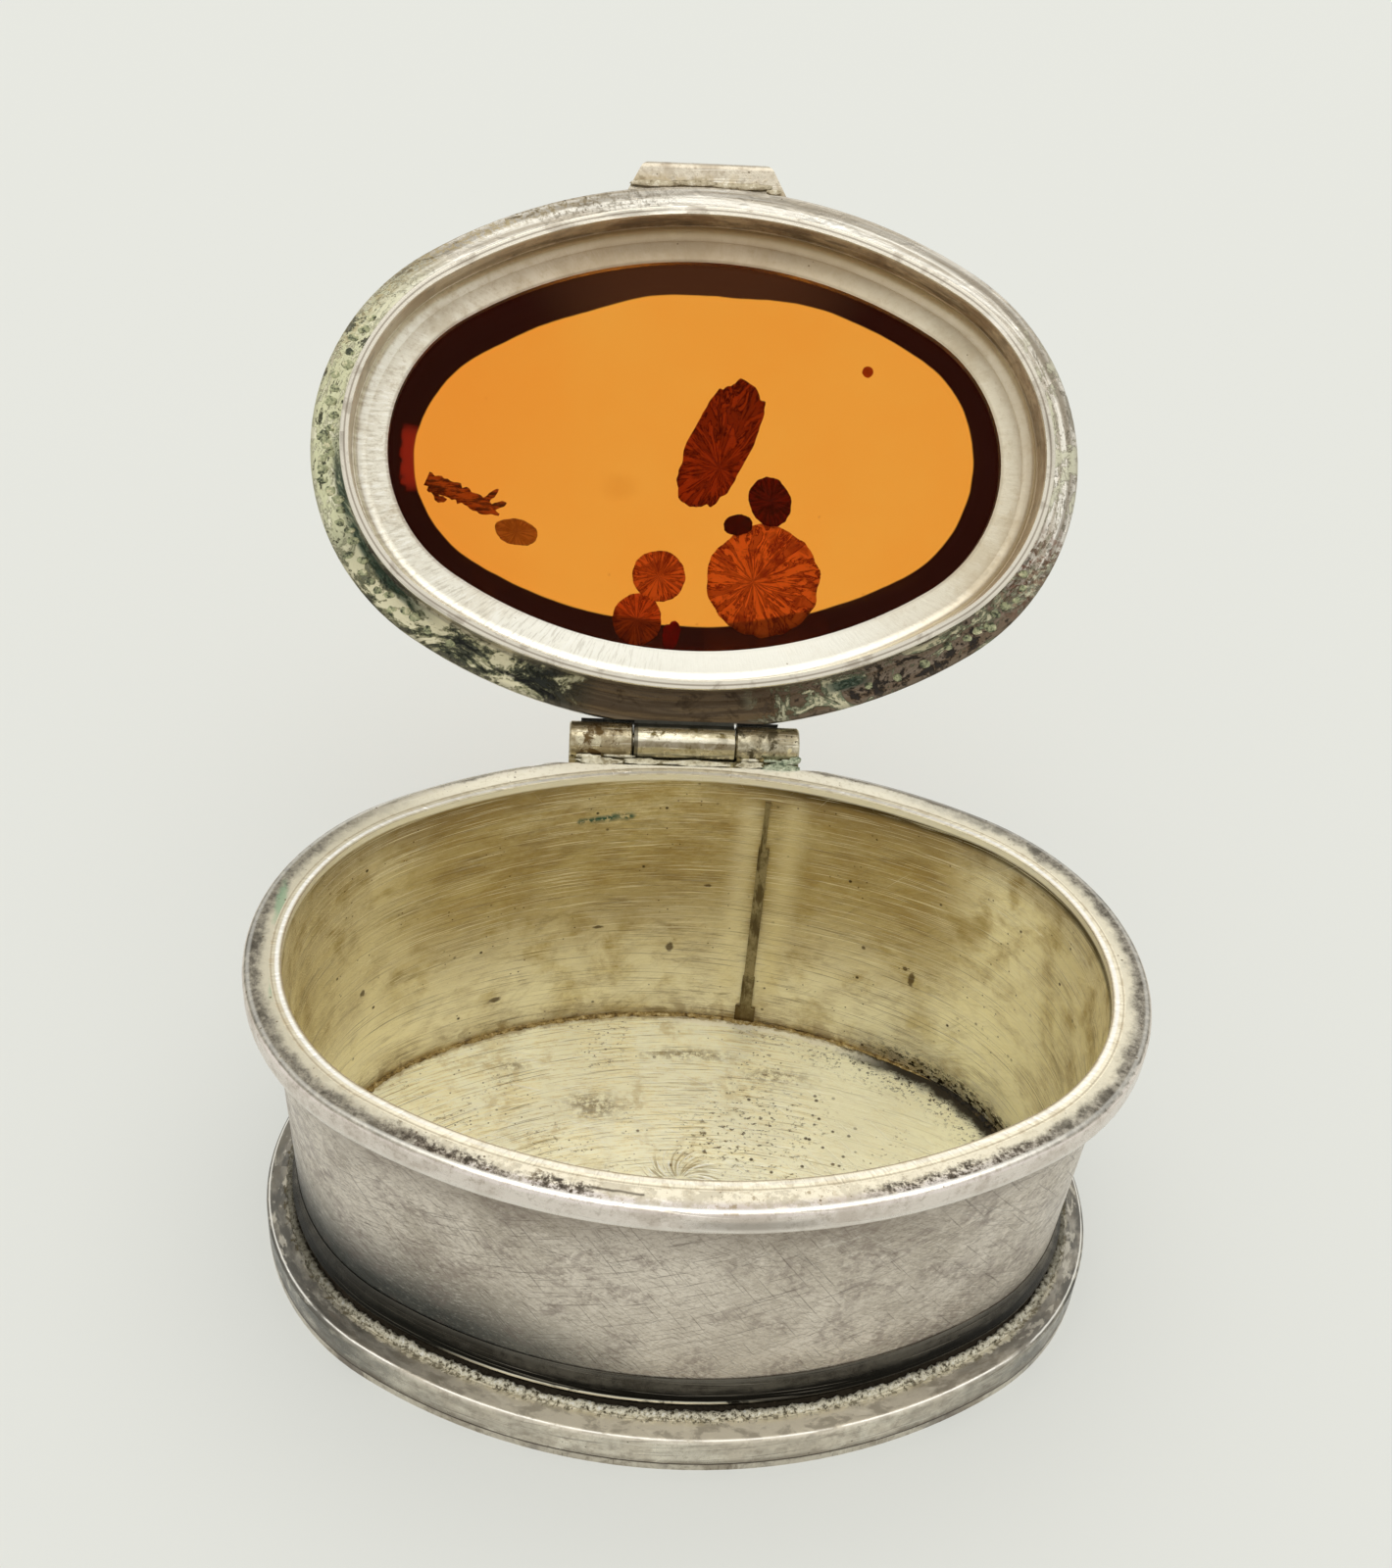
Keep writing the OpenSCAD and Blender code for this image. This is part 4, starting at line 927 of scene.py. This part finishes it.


def amber_material():
    m, t, b = material("amber")
    v = t.place(True)
    d, ang = t.inset(v)
    x, _, z = t.xyz(v)
    dome = t.step(z, SHELF_Z + 0.02, SHELF_Z + 0.1)
    haze = t.noise(v, 0.16, 4, 0.6)
    motes = t.step(t.voronoi(v, 0.55), 0.07, 0.03)
    clear = t.mix(haze, (1, 0.436, 0.064), (1, 0.335, 0.036))
    clear = t.mix(t.mul(motes, t.cloud(v, 0.4, 0.5, 0.58), 0.6), clear, (0.6, 0.12, 0.01))
    across = t.m("SINE", ang)
    clear = t.mix(t.mul(t.step(x, -5, -15), 0.6), clear, (1, 0.32, 0.036))
    cloudy = t.mul(t.blob(v, (-4.4, 1.9, SHELF_Z), (0.9, 0.7, 1), 0.7, 1.2), 0.5)
    clear = t.mix(cloudy, clear, (0.78, 0.24, 0.02))
    # painted shade: a near-black ring round the stone's edge, with a painted reflection at the front and a painted
    # red glow at the left
    wob = t.add(d, t.sway(t.noise(v, 0.3, 3, 0.5), 0.22), t.mul(t.sector(ang, -0.6, 0.06, 0.72), 0.55),
        t.mul(t.step(across, 0.1, 1), -0.4), t.mul(t.step(across, -0.1, -1), 0.12),
        t.mul(t.sector(ang, -2.5, 0.05, 0.6), -0.36))
    painted_dark_ring = t.mul(dome, t.step(wob, RING + 0.05, RING - 0.05))
    dark_edge_shade = t.mix(t.sector(ang, FRONT, 0.45, 0.4), (0.0005, 2e-05, 2e-05), (0.005, 0.0012, 0.0012))
    dark_edge_shade = t.mix(t.sector(ang, 3, 0.6, 0.3), dark_edge_shade, (0.0004, 2e-05, 2e-05))
    patch = t.step(t.add(d, t.sway(t.noise(v, 1.5, 4, 0.6), 1)), 5.15, 5.45)
    dark_edge_shade = t.mix(t.mul(t.sector(ang, 3.12, 0.095, 0.03), patch), dark_edge_shade, (0.07, 0.0006, 0.0004))
    t.fill(b, Base_Color=t.mix(painted_dark_ring, clear, dark_edge_shade), Roughness=0.03, IOR=1.54, Transmission_Weight=1,
        Specular_Tint=(0.06, 0.06, 0.06), Normal=t.bump(t.noise(v, 0.5, 2, 0.5), 0.02))
    return m


SPANGLE_THICK = 0.05


def spangle(name, cx, cy, depth, rx, ry, tilt, light, dark, rag=0.10, seed=0.0, core=(0.0, 0.0), blunt=1.0):
    """A thin crazed disc inside the amber"""
    m, t, b = material(name)
    v = t.place(True)
    x, y = t.xyz(v)[:2]
    px, py = t.sub(x, cx + core[0]), t.sub(y, cy + core[1])
    far = t.hypot(px, py)
    turn = t.m("ARCTAN2", py, px)
    rays = t.noise(t.vec(t.mul(t.m("COSINE", turn), 3), t.mul(t.m("SINE", turn), 3),
        t.add(t.mul(far, 0.3), seed)), 1.9, 5, 0.62, 0.9)
    crack = t.step(t.abs(t.sub(rays, 0.47)), 0.035, 0.01)
    fold = t.step(rays, 0.4, 0.58)
    blot = t.noise(t.map(v, loc=(seed, 0, 0)), 0.9, 5, 0.65, 0.6)
    col = t.mix(fold, t.mix(0.45, light, dark), light)
    col = t.mix(t.mul(t.step(blot, 0.5, 0.64), 0.55), col, dark)
    col = t.mix(t.mul(crack, 0.9), col, dark)
    d = t.inset(v)[0]
    # painted shade: the disc darker where it lies under the stone's painted dark edge
    col = t.mix(t.mul(t.step(d, 6.5, 6.3), 0.62), col, (0.01, 0.001, 0.001))
    t.fill(b, Base_Color=col, Roughness=0.5, Specular_IOR_Level=0.08, Normal=t.bump(rays, 0.06))
    verts, faces, rings, n = [(cx, cy, depth)], [], 9, 110
    c, s = cos(tilt), sin(tilt)
    for k in range(1, rings + 1):
        for i in range(n):
            a = TURN * i / n
            q = Vector((cos(a), sin(a), seed))
            rr = 1 + rag * (noise.noise(q * 1.7) + 0.7 * noise.noise(q * 4) + 0.45 * noise.noise(q * 9))
            f = k / rings * rr
            ca, sa = cos(a), sin(a)
            ex, ey = rx * copysign(abs(ca) ** blunt, ca) * f, ry * copysign(abs(sa) ** blunt, sa) * f
            wx, wy = cx + c * ex - s * ey, cy + s * ex + c * ey
            verts.append((wx, wy, depth + 0.05 * noise.noise(Vector((wx * 1.6, wy * 1.6, seed)))))
    for i in range(n):
        faces.append((0, 1 + i, 1 + (i + 1) % n))
        for k in range(rings - 1):
            a, b2 = 1 + k * n, 1 + (k + 1) * n
            faces.append((a + i, b2 + i, b2 + (i + 1) % n, a + (i + 1) % n))
    piece(name, *slab(verts, faces, SPANGLE_THICK), m, "lid", "amber")


def add_inclusions():
    deep = SHELF_Z + 1
    for name, *shape in (
            ("long", 1.5, -0.9, deep, 3.95, 1.72, radians(114), "b24a1a", "460e06", 0.085, 1.3, (0, 1.4), 0.72),
            ("oval", 4.56, 2.36, deep, 1.5, 1.2, radians(70), "701a0c", "280503", 0.06, 2.9),
            ("small", 2.71, 3.82, deep, 0.85, 0.62, radians(-8), "541008", "200402", 0.07, 4.1),
            ("big", 4.28, 7.05, deep + 0.15, 3.3, 3.3, 0.3, "ff9e68", "802012", 0.05, 5.7, (-0.6, 0.1)),
            ("round", -1.84, 7, deep, 1.55, 1.5, 0.4, "f08e5e", "7e2a18", 0.045, 7.2),
            ("low", -3.05, 9.6, deep, 1.42, 1.5, 0.1, "e4784a", "722212", 0.05, 8.8),
            ("edge", -1, 10.45, deep, 0.5, 0.85, 0.2, "be0e06", "780603", 0.2, 9.9),
            ("dot", 10.13, -5.61, deep, 0.33, 0.33, 0, "d66c34", "be5828", 0.06, 11.1),
            ("brown", -10.27, 4.72, deep, 1.28, 0.76, radians(12), "ce9c66", "a07242", 0.08, 12.3)):
        spangle("spangle_" + name, *shape)
    m, t, b = material("twig")
    v = t.place(True)
    n = t.noise(t.map(v, (0.7, 3, 1), rot=-0.4), 1.4, 5, 0.7)
    t.fill(b, Base_Color=t.mix(t.step(n, 0.42, 0.56), "54220a", "c46c2c"), Roughness=0.5)
    verts, faces = [], []
    strands = [([(-15.6, 1.75), (-14.2, 2.3), (-12.8, 3), (-11.3, 3.75)], 0.42),
        ([(-15.5, 2.2), (-14.3, 2.55), (-13.2, 2.8), (-12, 3.5)], 0.27),
        ([(-12.4, 3.2), (-11.9, 2.7), (-11.4, 2.2)], 0.2), ([(-12, 3.4), (-11.3, 3.1), (-10.9, 3)], 0.17),
        ([(-15.3, 2.3), (-14.9, 2.9), (-14.4, 2.9)], 0.16)]
    for k, (line, half) in enumerate(strands):
        base, steps = len(verts), 24
        for i in range(steps + 1):
            f = i / steps * (len(line) - 1)
            j = min(int(f), len(line) - 2)
            a, e = Vector(line[j]), Vector(line[j + 1])
            p = a.lerp(e, f - j)
            nrm = Vector((-(e - a).y, (e - a).x)).normalized()
            ragged = 1 + 0.5 * noise.noise(Vector((p.x * 2.2, p.y * 2.2, k)))
            w = half * min(1, 4 * (1 - i / steps) + 0.15) * ragged
            for side in (-1, 0, 1):
                q = p + nrm * w * side * (1 + 0.4 * noise.noise(Vector((p.x * 5, side, k))))
                verts.append((q.x, q.y, deep + 0.12 * k + (0.08 if side == 0 else 0)))
        for i in range(steps):
            for c in range(2):
                a = base + 3 * i + c
                faces.append((a, a + 1, a + 4, a + 3))
    piece("amber_twig", *slab(verts, faces, SPANGLE_THICK), m, "lid", "amber")


# --- floor and light
# The floor reflects PAPER and, to the camera and in reflections, glows by GLOW as well
PAPER, GLOW, FLOOR_HALF = (0.355, 0.355, 0.33), (0.385, 0.395, 0.375), 3
SKY, SKY_LOW, SKY_HIGH, HIGH_UP = 0.92, (0.98, 0.975, 0.955), (1, 0.995, 0.98), 0.9
SUN, SUN_ANGLE, SUN_COLOR, SUN_WAY = 0.75, radians(60), (1, 0.985, 0.96), Vector((-0.06, -0.02, -1))


def stage():
    me = bpy.data.meshes.new("floor")
    bm = bmesh.new()
    bmesh.ops.create_grid(bm, x_segments=1, y_segments=1, size=FLOOR_HALF)
    bm.to_mesh(me)
    bm.free()
    ob = add_object("floor", me)
    m, t, b = material("paper")
    path = t.node("ShaderNodeLightPath").outputs
    seen = t.top(path["Is Camera Ray"], path["Is Glossy Ray"], path["Is Transmission Ray"])
    t.fill(b, Base_Color=PAPER, Emission_Color=GLOW, Emission_Strength=seen, Roughness=0.9, Specular_IOR_Level=0.1)
    me.materials.append(m)

    w = bpy.data.worlds.new("studio")
    bpy.context.scene.world = w
    w.use_nodes = True
    w.node_tree.nodes.clear()
    wt = Tree(w.node_tree)
    up = wt.xyz(wt.node("ShaderNodeTexCoord").outputs["Generated"])[2]
    sky = wt.mix(wt.step(up, 0, HIGH_UP), SKY_LOW, SKY_HIGH)
    bg = wt.node("ShaderNodeBackground", i0=sky, i1=SKY)
    wt.node("ShaderNodeOutputWorld", i0=bg.outputs[0])

    lamp = bpy.data.lights.new("window", "SUN")
    lamp.energy, lamp.angle, lamp.color = SUN, SUN_ANGLE, SUN_COLOR
    add_object("window", lamp).rotation_euler = SUN_WAY.to_track_quat("-Z", "Y").to_euler()


add_camera()
paint("body_wall", "wall", wall_look)
paint("rim_collar", "rim", rim_look)
paint("foot_ring", "foot", foot_look)
paint("base_plate", "base", base_look)
paint("foot_cove", "cove", cove_look)
paint("wall_seam", "seam", seam_look)
paint("floor_plate", "floor", floor_look)
paint("box_knuckle_left", "knuckle_left", knuckle_look, "cec4a6", "a09274", "52442e", "685436")
paint("box_knuckle_right", "knuckle_right", right_knuckle_look)
paint("lid_knuckle", "lid_knuckle", lid_knuckle_look, lid=True)
paint("hinge_pin", "pin", knuckle_look, "c8c0aa", "968c74", "504632", "5a4c32")
paint("hinge_bearer", "bearer", knuckle_look, "d0c8a8", "a69a76", "52462c", "625c3c")
paint("lid_frame", "frame", frame_look, lid=True)
paint("lid_lip", "lip", lip_look, lid=True)
paint("stone_seat", "seat", seat_look, lid=True)
paint("stone_bezel", "bezel", bezel_look, lid=True)
paint("thumbpiece", "thumb", thumb_look, lid=True)
use("amber_stone", amber_material())
add_dirt_and_gap_shade()
add_inclusions()
stage()
bpy.context.scene.view_settings.view_transform = "Standard"
